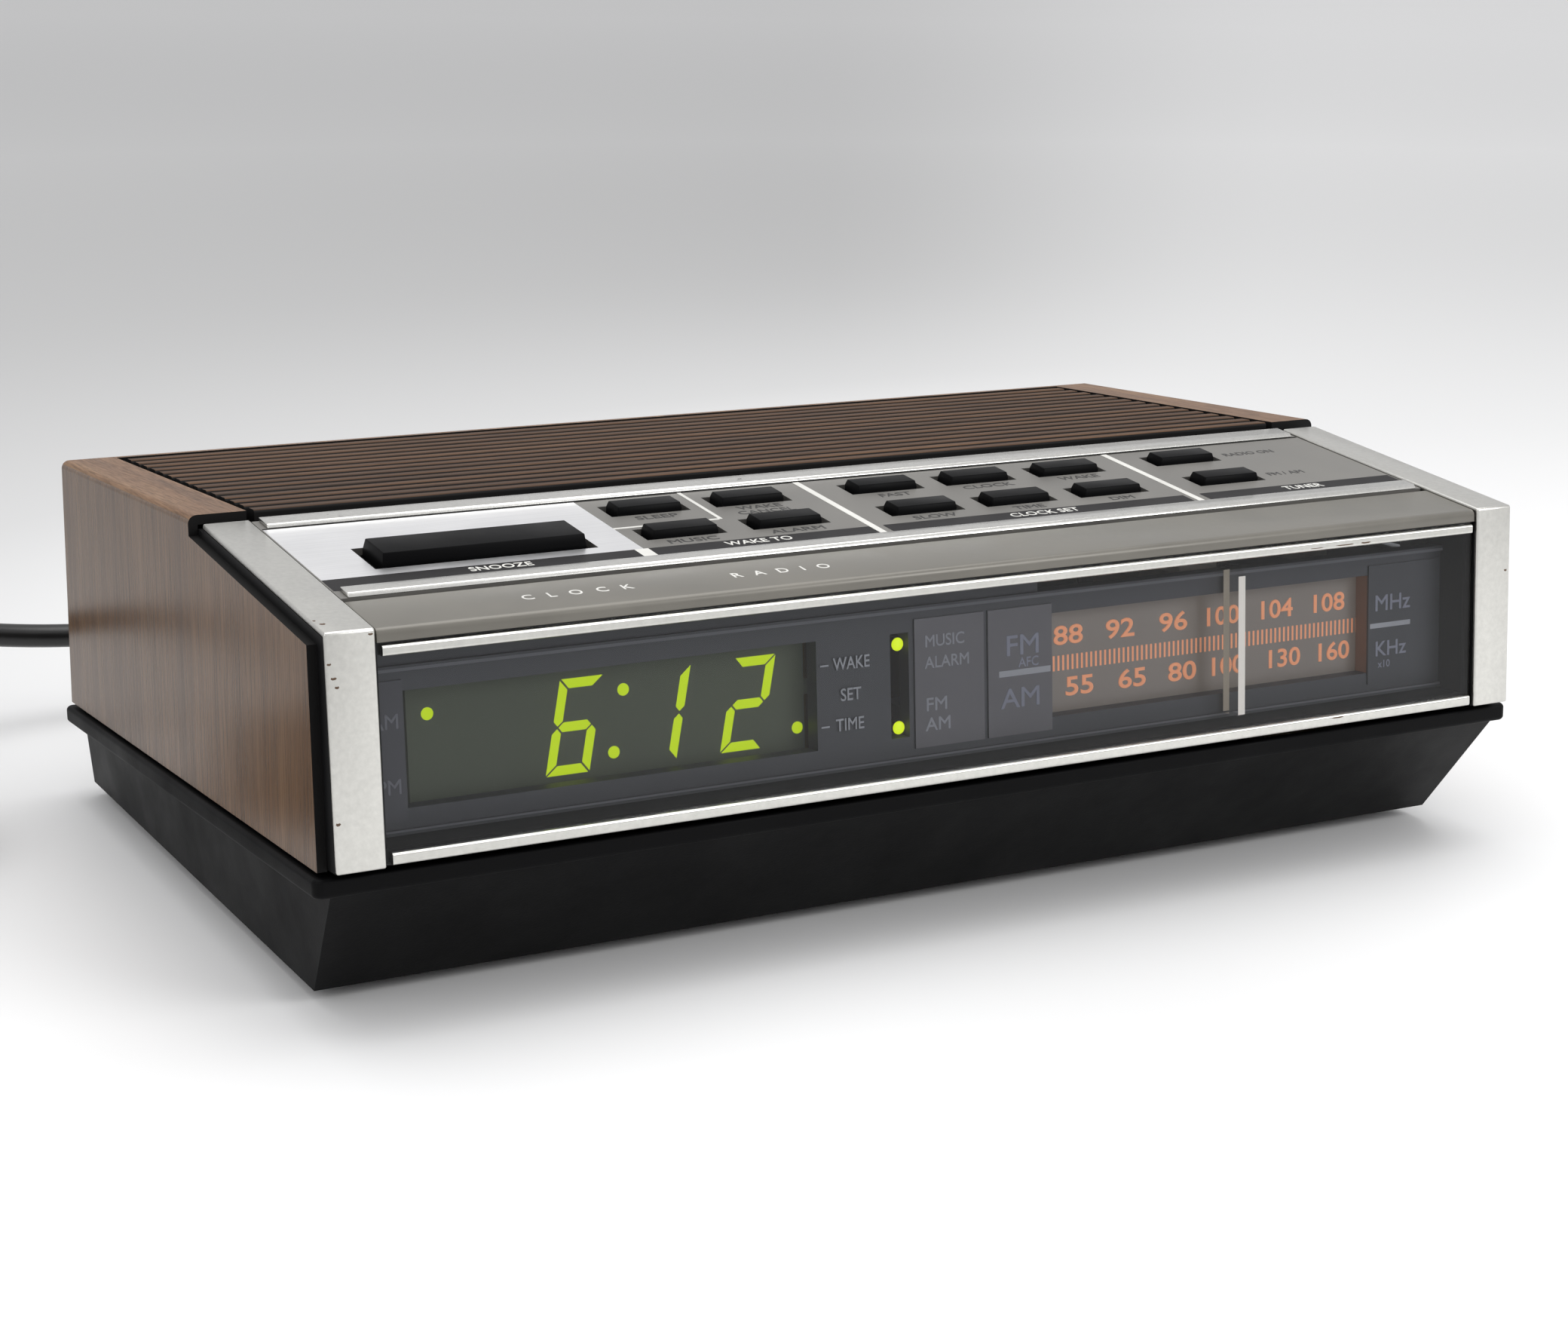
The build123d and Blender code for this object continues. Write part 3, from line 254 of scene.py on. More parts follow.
GRIP_RIDGES, GRIP_SIDES, GRIP_SQUARENESS = 6, 16, 5.0
GRIP_START, GRIP_PITCH, GRIP_OUT = 14.5, 2.2, 6.4
GRIP_LOW, GRIP_HIGH = (6.2, 0.65, -0.3), (6.0, 0.45, 0.10)  # half length, half width, height
RELIEF_AT = Vector((-88.0, 176.57, 30.0))
RELIEF_RINGS, RELIEF_SIDES = 7, 36
RELIEF_START, RELIEF_END = 2.0, 22.8  # where the rings start and end
RELIEF_PITCH = (RELIEF_END - RELIEF_START) / RELIEF_RINGS
RELIEF_WIDE, RELIEF_TAPER = 5.4, 1.7
RELIEF_COLLAR = [(-3.4, 3.8), (-0.02, 3.8), (0.0, 6.3), (1.3, 6.3), (1.6, 6.0), (1.7, 4.9)]  # along, radius
RELIEF_RING = [  # along from a ring's start, in from its radius
    (0.0, 0.5),
    (0.2, 0.0),
    (0.6 * RELIEF_PITCH, 0.1),
    (0.7 * RELIEF_PITCH, 0.75),
]
RELIEF_TIP = (23.0, 3.55)  # along, radius

# ---- the printed walnut: features per metre, across and along the grain ----
GRAIN_BANDS, GRAIN_LINES, GRAIN_PORES = (150, 6), (2300, 40), (3000, 130)

# ---- the floor: its painted light and shade by distance and side, and the room's light ----
FLOOR_RADIUS, FLOOR_SIDES = 7.0, 96
FLOOR_ROUGHNESS = 0.55
FLOOR_CENTRE = (0.40, -0.30, 0.0)
FLOOR_FADE = 4.3  # metres from the centre over which the tones run
FLOOR_DARK_SIDE = [(0.07, 0.84), (0.15, 0.82), (0.195, 0.50), (0.29, 0.38), (0.465, 0.56), (1.0, 0.72)]
FLOOR_LIGHT_SIDE = [(0.07, 0.82), (0.15, 0.62), (0.30, 0.62), (0.465, 0.86), (1.0, 0.96)]
FLOOR_TURN = [(51, 1.0), (61.5, 0.0)]  # degrees about the camera's foot: light side, then dark side
ROOM_SHADE, ROOM_STRENGTH = (0.99, 0.99, 1.0, 1), 0.72
LIGHTS = [  # name, place, height of its aim, size, watts
    ("overhead", (0.1, 0.15, 1.5), 0.03, (1.6, 1.2), 17),
    ("front_right", (0.9, -1.3, 0.9), 0.04, (0.9, 0.7), 11),
    ("left", (-1.4, -0.5, 0.9), 0.04, (0.7, 0.9), 4),
]


# ---- places on the cabinet ----
def plane_matrix(at, rise):
    """A plane of the cabinet, turned up about X by rise from lying flat."""
    cabinet = Matrix.Translation(CABINET_AT) @ Matrix.Rotation(-TILT, 4, "X")
    return cabinet @ Matrix.Translation(Vector(at) * MM) @ Matrix.Rotation(rise, 4, "X")


FOLD = (0, FRONT_HEIGHT * math.sin(FRONT_LEAN), FRONT_BOTTOM + FRONT_HEIGHT * math.cos(FRONT_LEAN))
FRONT = plane_matrix((0, 0, FRONT_BOTTOM), math.pi / 2 - FRONT_LEAN)
SLOPE = plane_matrix(FOLD, SLOPE_RISE)
TOP = plane_matrix((0, 0, CABINET_TOP), 0.0)
CABINET = plane_matrix((0, 0, 0), 0.0)


def point(plane, x, up, out):
    """The place of a point given in millimetres on one of the planes."""
    return plane @ (Vector((x, up, out)) * MM)


# ---- making pieces ----
def new_piece(name, data, riding, materials):
    """Links a mesh or curve as a piece that rides on a body."""
    obj = bpy.data.objects.new(name, data)
    bpy.context.scene.collection.objects.link(obj)
    for material in materials:
        obj.data.materials.append(material)
    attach(obj, riding)
    return obj


def mesh_from(bm, name):
    """A mesh from a bmesh, which is freed."""
    mesh = bpy.data.meshes.new(name)
    bmesh.ops.recalc_face_normals(bm, faces=bm.faces)
    bm.to_mesh(mesh)
    bm.free()
    return mesh


def smooth(obj, angle=35):
    """Smooth shading that keeps edges sharper than the angle."""
    obj.data.shade_smooth()
    obj.data.set_sharp_from_angle(angle=math.radians(angle))


def skin(bm, rings):
    """Joins rings of vertices into a closed skin with flat ends."""
    for first, second in zip(rings, rings[1:]):
        count = len(first)
        for i in range(count):
            j = (i + 1) % count
            bm.faces.new((first[i], first[j], second[j], second[i]))
    bm.faces.new(reversed(rings[0]))
    bm.faces.new(rings[-1])


def add_prism(bm, plane, outline, levels):
    """Adds a flat plate to bm: an outline of (x, up) points between two levels."""
    skin(bm, [[bm.verts.new(point(plane, x, up, out)) for x, up in outline] for out in levels])


def add_box(bm, plane, x, up, out):
    """Adds a box to bm from its (low, high) pairs on a plane."""
    add_prism(bm, plane, [(x[0], up[0]), (x[1], up[0]), (x[1], up[1]), (x[0], up[1])], out)


def add_disc(bm, plane, x, up, radius, levels, dome=0.0):
    """Adds a round button to bm, its face raised in the middle by dome."""
    steps = [(1.0, level) for level in levels]
    if dome:
        steps += [(math.cos(a), levels[1] + dome * math.sin(a)) for a in DOME_ANGLES]
    rings = []
    for share, level in steps:
        ring = []
        for i in range(DISC_SIDES):
            a = math.tau * i / DISC_SIDES
            right, higher = radius * share * math.cos(a), radius * share * math.sin(a)
            ring.append(bm.verts.new(point(plane, x + right, up + higher, level)))
        rings.append(ring)
    skin(bm, rings)


def body_of_node(node):
    """The body that a CAD node belongs to."""
    return next(body for body, nodes in bodies.items() if node in nodes)


def softened(node, width, material, segments=2, sharp=28):
    """Puts a copy with rounded edges in a CAD node's place; sharp is the least angle rounded."""
    source = bpy.data.objects[node]
    bm = bmesh.new()
    bm.from_mesh(source.data)
    bmesh.ops.remove_doubles(bm, verts=bm.verts, dist=MERGE_DISTANCE * MM)
    bmesh.ops.dissolve_limit(bm, angle_limit=FLAT_ANGLE, verts=bm.verts, edges=bm.edges)
    edges = [
        e
        for e in bm.edges
        if len(e.link_faces) == 2 and e.calc_face_angle(0.0) > math.radians(sharp)
    ]
    bmesh.ops.bevel(
        bm, geom=edges, offset=width * MM, segments=segments, profile=0.5, affect="EDGES",
        clamp_overlap=True, loop_slide=True,
    )
    piece = new_piece(node + "_body", mesh_from(bm, node), body_of_node(node), [material])
    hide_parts(node)
    smooth(piece, angle=40)


def lettering(name, plane, out, material, items, weight=FONT_WEIGHT, spacing=1.0):
    """One piece of flat lettering. Each item is (text, x, up, capital height, align, stretch)."""
    bm = bmesh.new()
    for text, x, up, cap, align, stretch in items:
        curve = bpy.data.curves.new(name, "FONT")
        curve.body = text
        curve.align_x = align
        curve.size = cap / FONT_CAP * MM
        curve.space_character = spacing
        curve.bevel_depth = cap * weight * MM
        curve.bevel_resolution = 0
        curve.extrude = INK / 2 * MM
        curve.resolution_u = 4
        obj = bpy.data.objects.new(name, curve)
        bpy.context.scene.collection.objects.link(obj)
        bpy.context.view_layer.update()
        drawn = obj.evaluated_get(bpy.context.evaluated_depsgraph_get())
        flat = bpy.data.meshes.new_from_object(drawn)
        flat.transform(Matrix.Diagonal((stretch, 1, 1, 1)))
        flat.transform(plane @ Matrix.Translation(Vector((x, up, out + INK / 2)) * MM))
        bm.from_mesh(flat)
        bpy.data.objects.remove(obj)
        bpy.data.curves.remove(curve)
        bpy.data.meshes.remove(flat)
    new_piece(name, mesh_from(bm, name), "chassis", [material])


# ---- the camera ----
camera_data = bpy.data.cameras.new("camera")
camera_data.lens = CAMERA_LENS
camera_data.sensor_width = 36.0
camera_data.clip_start = 0.01
camera = bpy.data.objects.new("camera", camera_data)
bpy.context.scene.collection.objects.link(camera)
turn = Matrix.Rotation(CAMERA_AZIMUTH, 4, "Z") @ Matrix.Rotation(math.pi / 2 - CAMERA_DOWN, 4, "X")
camera.matrix_world = Matrix.Translation(CAMERA_AT) @ turn @ Matrix.Rotation(CAMERA_ROLL, 4, "Z")
bpy.context.scene.camera = camera


# ---- colours and materials made of nodes ----
def colour(red, green, blue):
    """A linear colour from the usual 0 to 255 values."""
    def linear(value):
        share = value / 255
        return share / 12.92 if share <= 0.04045 else ((share + 0.055) / 1.055) ** 2.4
    return (linear(red), linear(green), linear(blue), 1.0)


class Paint:
    """A material on one Principled shader, with short ways to add nodes to it."""

    def __init__(self, name, base, roughness, **sockets):
        self.material = bpy.data.materials.new(name)
        self.material.use_nodes = True
        self.tree = self.material.node_tree
        self.shader = self.tree.nodes["Principled BSDF"]
        self.shader.inputs["Base Color"].default_value = base
        self.shader.inputs["Roughness"].default_value = roughness
        for socket, value in sockets.items():
            self.shader.inputs[socket.replace("_", " ")].default_value = value
        self.normal = None

    def node(self, kind, **values):
        """Adds a node, and sets its properties."""
        made = self.tree.nodes.new("ShaderNode" + kind)
        for key, value in values.items():
            setattr(made, key, value)
        return made

    def link(self, output, socket):
        self.tree.links.new(output, socket)

    def space(self, scale, lean=0.0):
        """Object coordinates in metres, leaned back with the cabinet, times a scale per axis."""
        place = self.node("TexCoord")
        mapping = self.node("Mapping", vector_type="POINT")
        mapping.inputs["Rotation"].default_value = (lean, 0, 0)
        mapping.inputs["Scale"].default_value = scale
        self.link(place.outputs["Object"], mapping.inputs["Vector"])
        return mapping.outputs["Vector"]

    def noise(self, scale, detail=3.0, rough=0.55, lean=0.0, distortion=0.0):
        """Noise over the object, its scale per metre along each axis."""
        texture = self.node("TexNoise")
        texture.inputs["Scale"].default_value = 1.0
        texture.inputs["Detail"].default_value = detail
        texture.inputs["Roughness"].default_value = rough
        texture.inputs["Distortion"].default_value = distortion
        self.link(self.space(scale, lean), texture.inputs["Vector"])
        return texture.outputs["Fac"]

    def ramp(self, value, stops, interpolation="LINEAR"):
        """A colour ramp through (position, colour) stops."""
        node = self.node("ValToRGB")
        node.color_ramp.interpolation = interpolation
        elements = node.color_ramp.elements
        for element, (position, shade) in zip(elements, (stops[0], stops[-1])):
            element.position = position
            element.color = shade
        for position, shade in stops[1:-1]:
            elements.new(position).color = shade
        self.link(value, node.inputs["Fac"])
        return node.outputs["Color"]

    def span(self, value, low, high, to_low, to_high):
        """A value mapped from one span to another, held at its ends."""
        node = self.node("MapRange")
        ends = {"From Min": low, "From Max": high, "To Min": to_low, "To Max": to_high}
        for socket, number in ends.items():
            node.inputs[socket].default_value = number
        self.link(value, node.inputs["Value"])
        return node.outputs["Result"]

    def blend(self, share, first, second, mode="MIX"):
        """Two colours mixed by a share; each is an output or a plain colour."""
        node = self.node("Mix", data_type="RGBA", blend_type=mode)
        for socket, value in ((0, share), (6, first), (7, second)):
            if isinstance(value, bpy.types.NodeSocket):
                self.link(value, node.inputs[socket])
            else:
                node.inputs[socket].default_value = value
        return node.outputs[2]

    def base(self, output):
        """Takes the base colour from an output."""
        self.link(output, self.shader.inputs["Base Color"])

    def rough(self, output):
        """Takes the roughness from an output."""
        self.link(output, self.shader.inputs["Roughness"])

    def bump(self, height, distance, strength=1.0):
        """Adds a layer of bump, its height in millimetres."""
        node = self.node("Bump")
        node.inputs["Strength"].default_value = strength
        node.inputs["Distance"].default_value = distance * MM
        self.link(height, node.inputs["Height"])
        if self.normal is not None:
            self.link(self.normal, node.inputs["Normal"])
        self.normal = node.outputs["Normal"]
        self.link(self.normal, self.shader.inputs["Normal"])


def grey(value):
    """A linear grey."""
    return (value, value, value, 1.0)


def walnut(name, light, middle, dark, along, gloss, specular):
    """Printed walnut grain under a satin skin; along gives the grain's axis as 0, 1 or 2."""
    def scales(across, length):
        return tuple(length if axis == along else across for axis in range(3))
    paint = Paint(name, middle, gloss, Specular_IOR_Level=specular)
    bands = paint.noise(scales(*GRAIN_BANDS), detail=3, rough=0.6, lean=TILT, distortion=0.3)
    lines = paint.noise(scales(*GRAIN_LINES), detail=4, rough=0.65, lean=TILT)
    pores = paint.noise(scales(*GRAIN_PORES), detail=2, rough=0.5, lean=TILT)
    tone = paint.ramp(bands, [(0.30, dark), (0.50, middle), (0.70, light)])
    streaks = paint.ramp(lines, [(0.34, grey(0.60)), (0.50, grey(0.94)), (0.66, grey(1.18))])
    tone = paint.blend(1.0, tone, streaks, "MULTIPLY")
    ticks = paint.ramp(pores, [(0.30, grey(0.62)), (0.42, grey(1.0))])
    paint.base(paint.blend(0.8, tone, ticks, "MULTIPLY"))
    paint.rough(paint.span(lines, 0.3, 0.7, gloss + 0.06, gloss - 0.05))
    paint.bump(lines, 0.03, strength=0.3)
    return paint.material


def plastic(name, base, roughness, grain=2600, depth=0.02, spread=0.06, **sockets):
    """Moulded plastic: grain per metre, its depth in millimetres, and a slightly uneven gloss."""
    paint = Paint(name, base, roughness, **sockets)
    fine = paint.noise((grain,) * 3, detail=2)
    cloud = paint.noise((55,) * 3, detail=4)
    paint.rough(paint.span(cloud, 0.3, 0.7, roughness - spread, roughness + spread))
    tint = paint.ramp(cloud, [(0.3, grey(0.9)), (0.7, grey(1.08))])
    paint.base(paint.blend(1.0, base, tint, "MULTIPLY"))
    paint.bump(fine, depth)
    return paint.material


def metal(name, base, roughness, brushed=(900, 900, 900), wear=0.0):
    """Metal with fine marks; brushed gives the scale of its lines per axis."""
    paint = Paint(name, base, roughness, Metallic=1.0)
    cloud = paint.noise((70,) * 3, detail=5, rough=0.6)
    marks = paint.noise(brushed, detail=3, rough=0.6, lean=TILT)
    paint.rough(paint.span(cloud, 0.3, 0.72, roughness - 0.02, roughness + 0.04))
    tint = paint.ramp(marks, [(0.25, grey(0.90)), (0.75, grey(1.04))])
    tone = paint.blend(1.0, base, tint, "MULTIPLY")
    if wear:
        blots = paint.noise((210,) * 3, detail=6, rough=0.7)
        spots = paint.ramp(blots, [(0.66 - wear, grey(1.0)), (0.72 - wear, grey(0.25))])
        tone = paint.blend(1.0, tone, spots, "MULTIPLY")
    paint.base(tone)
    paint.bump(marks, 0.0015)
    return paint.material


def pane(name, tint, gloss, ior):
    """A thin clear plate: what is behind shows through its tint, under a mirror of the room."""
    paint = Paint(name, (1, 1, 1, 1), gloss)
    see = paint.node("BsdfTransparent")
    see.inputs["Color"].default_value = tint
    shine = paint.node("BsdfGlossy")
    shine.inputs["Roughness"].default_value = gloss
    edge = paint.node("Fresnel")
    edge.inputs["IOR"].default_value = ior
    mix = paint.node("MixShader")
    paint.link(edge.outputs["Fac"], mix.inputs[0])
    paint.link(see.outputs["BSDF"], mix.inputs[1])
    paint.link(shine.outputs["BSDF"], mix.inputs[2])
    paint.link(mix.outputs[0], paint.tree.nodes["Material Output"].inputs["Surface"])
    paint.tree.nodes.remove(paint.shader)
    return paint.material


def glowing(name, base, shine, strength, roughness=0.4):
    """A surface that gives out light of its own: real for the clock's digits and lamps, painted glow on the
    other parts.
    """
    paint = Paint(name, base, roughness, Emission_Color=shine, Emission_Strength=strength)
    return paint.material


# ---- the mains lead: its route, the coil's turns by a loop, and the plug's end ----
def coil_point(i, start, end, height):
    """A point of a flat spiral whose radius goes from start to end over one layer of the coil."""
    angle = math.pi + math.tau * i / COIL_STEPS
    radius = start + (end - start) * i / (COIL_TURNS * COIL_STEPS)
    return COIL_CENTRE + Vector((radius * math.cos(angle), radius * math.sin(angle), height))


def cord_points():
    """The lead's route: out of the boot, round the coil's lower and upper layer, to the plug."""
    layer = COIL_TURNS * COIL_STEPS
    points = [Vector(p) for p in CORD_ROUTE]
    points += [coil_point(i, COIL_OUTER, COIL_INNER, LAYER_LOW) for i in range(layer + 1)]
    for i in range(1, layer + 1):
        share = min(i / RISE_STEPS, 1.0)
        height = LAYER_LOW + (LAYER_HIGH - LAYER_LOW) * share * share * (3 - 2 * share)
        points.append(coil_point(i, COIL_INNER, COIL_OUTER, height))
    return points + [Vector(p) for p in PLUG_ROUTE]


def power_cord(material):
    """The whole lead as one round cord, which stands for the open lead and the coil."""
    curve = bpy.data.curves.new("mains_lead", "CURVE")
    curve.dimensions = "3D"
    curve.bevel_depth = CORD_RADIUS
    curve.bevel_resolution = 5
    curve.resolution_u = 6
    curve.use_fill_caps = True
    spline = curve.splines.new("NURBS")
    points = cord_points()
    spline.points.add(len(points) - 1)
    for place, spot in zip(spline.points, points):
        place.co = (*spot, 1.0)
    spline.order_u = 3
    spline.use_endpoint_u = True
    cord = new_piece("mains_lead", curve, "chassis", [material])
    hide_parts("power_cord", "cord_coil")
    return cord


def add_ring(bm, centre, across, up, half_wide, half_high, power, sides):
    """A ring of points about a centre: an ellipse at power 2, squarer above it."""
    ring = []
    for i in range(sides):
        a = math.tau * i / sides
        c, s = math.cos(a), math.sin(a)
        x = math.copysign(abs(c) ** (2 / power), c) * half_wide
        z = math.copysign(abs(s) ** (2 / power), s) * half_high
        ring.append(bm.verts.new(centre + across * x + up * z))
    return ring


def plug_body(material):
    """The moulded plug on the lead's end, with grip ridges on both faces."""
    bm = bmesh.new()
    end = Vector(PLUG_ROUTE[-1])
    across, up, along = Vector((1, 0, 0)), Vector((0, 0, 1)), Vector((0, -1, 0))
    rings = [
        add_ring(bm, end + along * (reach * MM), across, up, wide * MM, high * MM, power, PLUG_SIDES)
        for reach, wide, high, power in PLUG_SECTIONS
    ]
    skin(bm, rings)
    for side in (-1, 1):
        for i in range(GRIP_RIDGES):
            foot = end + along * ((GRIP_START + GRIP_PITCH * i) * MM)
            rings = []
            for wide, deep, height in (GRIP_LOW, GRIP_HIGH):
                centre = foot + up * (side * (GRIP_OUT + height) * MM)
                size = wide * MM, deep * MM
                rings.append(add_ring(bm, centre, across, along, *size, GRIP_SQUARENESS, GRIP_SIDES))
            skin(bm, rings)
    piece = new_piece("plug_body", mesh_from(bm, "plug_body"), "chassis", [material])
    smooth(piece, angle=50)
    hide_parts("power_plug")
    return piece


def strain_relief(material):
    """The ribbed boot that the lead leaves through: a collar, then rings that get smaller."""
    bm = bmesh.new()
    profile = list(RELIEF_COLLAR)
    for i in range(RELIEF_RINGS):
        start = RELIEF_START + RELIEF_PITCH * i
        radius = RELIEF_WIDE - RELIEF_TAPER * i / RELIEF_RINGS
        profile += [(start + along, radius - inward) for along, inward in RELIEF_RING]
    profile.append(RELIEF_TIP)
    rings = []
    for along, radius in profile:
        ring = []
        for i in range(RELIEF_SIDES):
            a = math.tau * i / RELIEF_SIDES
            spot = RELIEF_AT + Vector((radius * math.cos(a), along, radius * math.sin(a)))
            ring.append(bm.verts.new(point(CABINET, *spot)))
        rings.append(ring)
    skin(bm, rings)
    piece = new_piece("cord_boot", mesh_from(bm, "cord_boot"), "chassis", [material])
    smooth(piece, angle=30)
    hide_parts("strain_relief")
    return piece


# ---- the materials ----
SIDE_TONES = colour(108, 83, 61), colour(98, 74, 54), colour(86, 64, 47)
TAN_TONES = colour(124, 94, 66), colour(110, 80, 55), colour(90, 65, 45)
RIB_TONES = colour(91, 64, 41), colour(75, 52, 34), colour(54, 38, 26)
ACROSS, BACKWARDS, UPRIGHT = 0, 1, 2  # the axis that the grain follows

walnut_side = walnut("walnut_side", *SIDE_TONES, UPRIGHT, 0.22, 0.20)
walnut_top = walnut("walnut_top", *TAN_TONES, BACKWARDS, 0.42, 0.2)
walnut_rib = walnut("walnut_rib", *RIB_TONES, ACROSS, 0.5, 0.1)
# black for cut edges, insides and rib sides; it is also painted shade in the gaps and grooves, and the
# painted shadow line under the upper bar
black_and_painted_shade = plastic("black_and_painted_shade", colour(12, 11, 11), 0.6, Specular_IOR_Level=0.15)
back_brown = plastic("back_brown", colour(48, 42, 38), 0.55, 1800, 0.03)
silver = metal("satin_silver", colour(206, 205, 200), 0.32)
bar_foil = metal("bar_foil", colour(214, 213, 209), 0.26)
trim_foil = metal("trim_foil", colour(204, 203, 198), 0.24)
worn_foil = metal("worn_foil", colour(214, 213, 209), 0.26, wear=0.01)
brushed = metal("brushed_aluminium", colour(240, 240, 241), 0.34, brushed=(30, 2600, 2600))
panel_grey = plastic("panel_grey", colour(112, 110, 106), 0.46, 1500, 0.004, Metallic=0.25)
band_grey = plastic("band_charcoal", colour(38, 37, 38), 0.5, 1500, 0.004, Specular_IOR_Level=0.1)
fascia_taupe = plastic("fascia_taupe", colour(108, 105, 98), 0.36, 1500, 0.004, Metallic=0.25)
white_ink = plastic("white_ink", colour(206, 205, 200), 0.5, 1500, 0.002)
key_black = plastic("key_black", colour(6, 6, 7), 0.40, 2600, 0.006, Specular_IOR_Level=0.05)
bezel_black = plastic("bezel_black", colour(14, 14, 15), 0.5, 2600, 0.01, Specular_IOR_Level=0.15)
base_charcoal = plastic("base_charcoal", colour(4, 4, 5), 0.54, 1900, 0.02, Specular_IOR_Level=0.09)
mask_grey = plastic("mask_grey", colour(69, 69, 71), 0.5, 1500, 0.004)
mask_light = plastic("mask_light", colour(76, 75, 78), 0.5, 1500, 0.004)
# painted highlight: light grey for the lit edges of the mask's ledges
ledge_painted_highlight = plastic("ledge_painted_highlight", colour(112, 112, 115), 0.5, 1500, 0.004)
label_grey = plastic("label_grey", colour(109, 106, 107), 0.5, 1500, 0.004)
label_ink = plastic("label_ink", colour(176, 176, 178), 0.5, 1500, 0.002)
band_ink = plastic("band_ink", colour(146, 147, 158), 0.5, 1500, 0.002)
faint_ink = plastic("faint_ink", colour(160, 160, 163), 0.5, 1500, 0.002)
dim_ink = plastic("dim_ink", colour(118, 117, 122), 0.5, 1500, 0.002)
key_ink = plastic("key_ink", colour(44, 43, 42), 0.5, 1500, 0.002)
# painted glow: the unlit face of the display tube is given a faint light of its own
tube_green_painted_glow = glowing("tube_green_painted_glow", colour(121, 118, 116), colour(100, 102, 90), 0.12, roughness=0.6)
# painted glow: the dial plate is given a faint warm light of its own
dial_warm = glowing("dial_warm", colour(134, 127, 119), colour(156, 134, 112), 0.10)
# the dial's orange print, with a painted glow on it
dial_orange_painted_glow = glowing("dial_orange_painted_glow", colour(222, 152, 112), colour(236, 150, 104), 0.40)
digit_glow = glowing("digit_glow", colour(120, 135, 4), colour(206, 228, 0), 1.15)
LENS_TINT, FILTER_TINT = (0.90, 0.91, 0.93, 1), (0.83, 0.86, 0.80, 1)
NO_MIRROR = 1.0  # the index of a face that reflects nothing
lens_clear = pane("lens_clear", LENS_TINT, 0.03, 1.38)
lens_inside = pane("lens_inside", LENS_TINT, 0.03, NO_MIRROR)
filter_green = pane("filter_green", FILTER_TINT, 0.10, 1.12)
filter_inside = pane("filter_inside", FILTER_TINT, 0.10, NO_MIRROR)
clear_plastic = pane("clear_plastic", (0.86, 0.87, 0.88, 1), 0.08, 1.30)
# painted glow on the pointer's white front edge, and a dimmer painted glint on its clear back edge
pointer_white_painted_glow = glowing("pointer_white_painted_glow", colour(226, 222, 214), colour(236, 226, 208), 0.35)
pointer_dim_painted_glow = glowing("pointer_dim_painted_glow", colour(176, 170, 160), colour(200, 184, 160), 0.20)
pointer_blade = pane("pointer_blade", (0.97, 0.97, 0.96, 1), 0.05, 1.10)
chip_brown = plastic("chip_brown", colour(84, 64, 48), 0.7, 1500, 0.01)
cord_black = plastic("cord_black", colour(20, 19, 19), 0.36, 1600, 0.02)
rubber_black = plastic("rubber_black", colour(26, 26, 26), 0.62, 2200, 0.04)
wheel_black = plastic("wheel_black", colour(30, 30, 31), 0.4, 2200, 0.02)
board_brown = plastic("board_brown", colour(120, 92, 52), 0.55, 900, 0.02)
can_metal = metal("can_metal", colour(190, 190, 190), 0.32)
plated_steel = metal("plated_steel", colour(170, 170, 172), 0.34)
lamination = metal("lamination", colour(92, 90, 90), 0.5, brushed=(60, 60, 2800))
winding_tape = plastic("winding_tape", colour(170, 136, 60), 0.4, 800, 0.03)
cone_paper = plastic("cone_paper", colour(30, 30, 30), 0.85, 1500, 0.05)
ferrite = plastic("ferrite", colour(52, 50, 50), 0.6, 1500, 0.03)
nylon = plastic("nylon", colour(216, 212, 200), 0.42, 1500, 0.01)
housing = plastic("housing", colour(202, 196, 178), 0.45, 1500, 0.01)
string_cord = plastic("string_cord", colour(196, 186, 160), 0.8, 3000, 0.03)
brass = metal("brass", colour(206, 170, 104), 0.28)
# painted glow: an orange light on the right wall of the dial's opening
dial_wall_painted_glow = glowing("dial_wall_painted_glow", colour(108, 86, 74), colour(160, 104, 70), 0.10, roughness=0.5)

MATERIAL_OF_SLOT = {
    "walnut_vinyl": walnut_side,
    "grille_brown": walnut_rib,
    "satin_silver": silver,
    "panel_grey": panel_grey,
    "fascia_taupe": fascia_taupe,
    "black_plastic": bezel_black,
    "charcoal": base_charcoal,
    "key_black": key_black,
    "chrome_trim": trim_foil,
    "lens": lens_clear,
    "display_green": filter_green,
    "dial_warm": dial_warm,
    "display_glass": tube_green_painted_glow,
    "lamp_glass": clear_plastic,
    "pointer_clear": pointer_blade,
    "board": board_brown,
    "parts_mixed": can_metal,
    "steel": plated_steel,
    "laminations": lamination,
    "winding": winding_tape,
    "paper_cone": cone_paper,
    "magnet": ferrite,
    "ferrite": ferrite,
    "thumbwheel": wheel_black,
    "nylon": nylon,
    "housing": housing,
    "string": string_cord,
    "rubber": rubber_black,
    "cord_vinyl": cord_black,
    "brass": brass,
}

for node, obj in frame["nodes"].items():
    obj.data.materials.clear()
    obj.data.materials.append(MATERIAL_OF_SLOT[slot_of[node]])
frame["nodes"]["display_mask"].data.materials[0] = mask_grey


# ---- the lead, its plug and its boot, as one cord ----
lead = power_cord(cord_black)
plug = plug_body(cord_black)
boot = strain_relief(rubber_black)


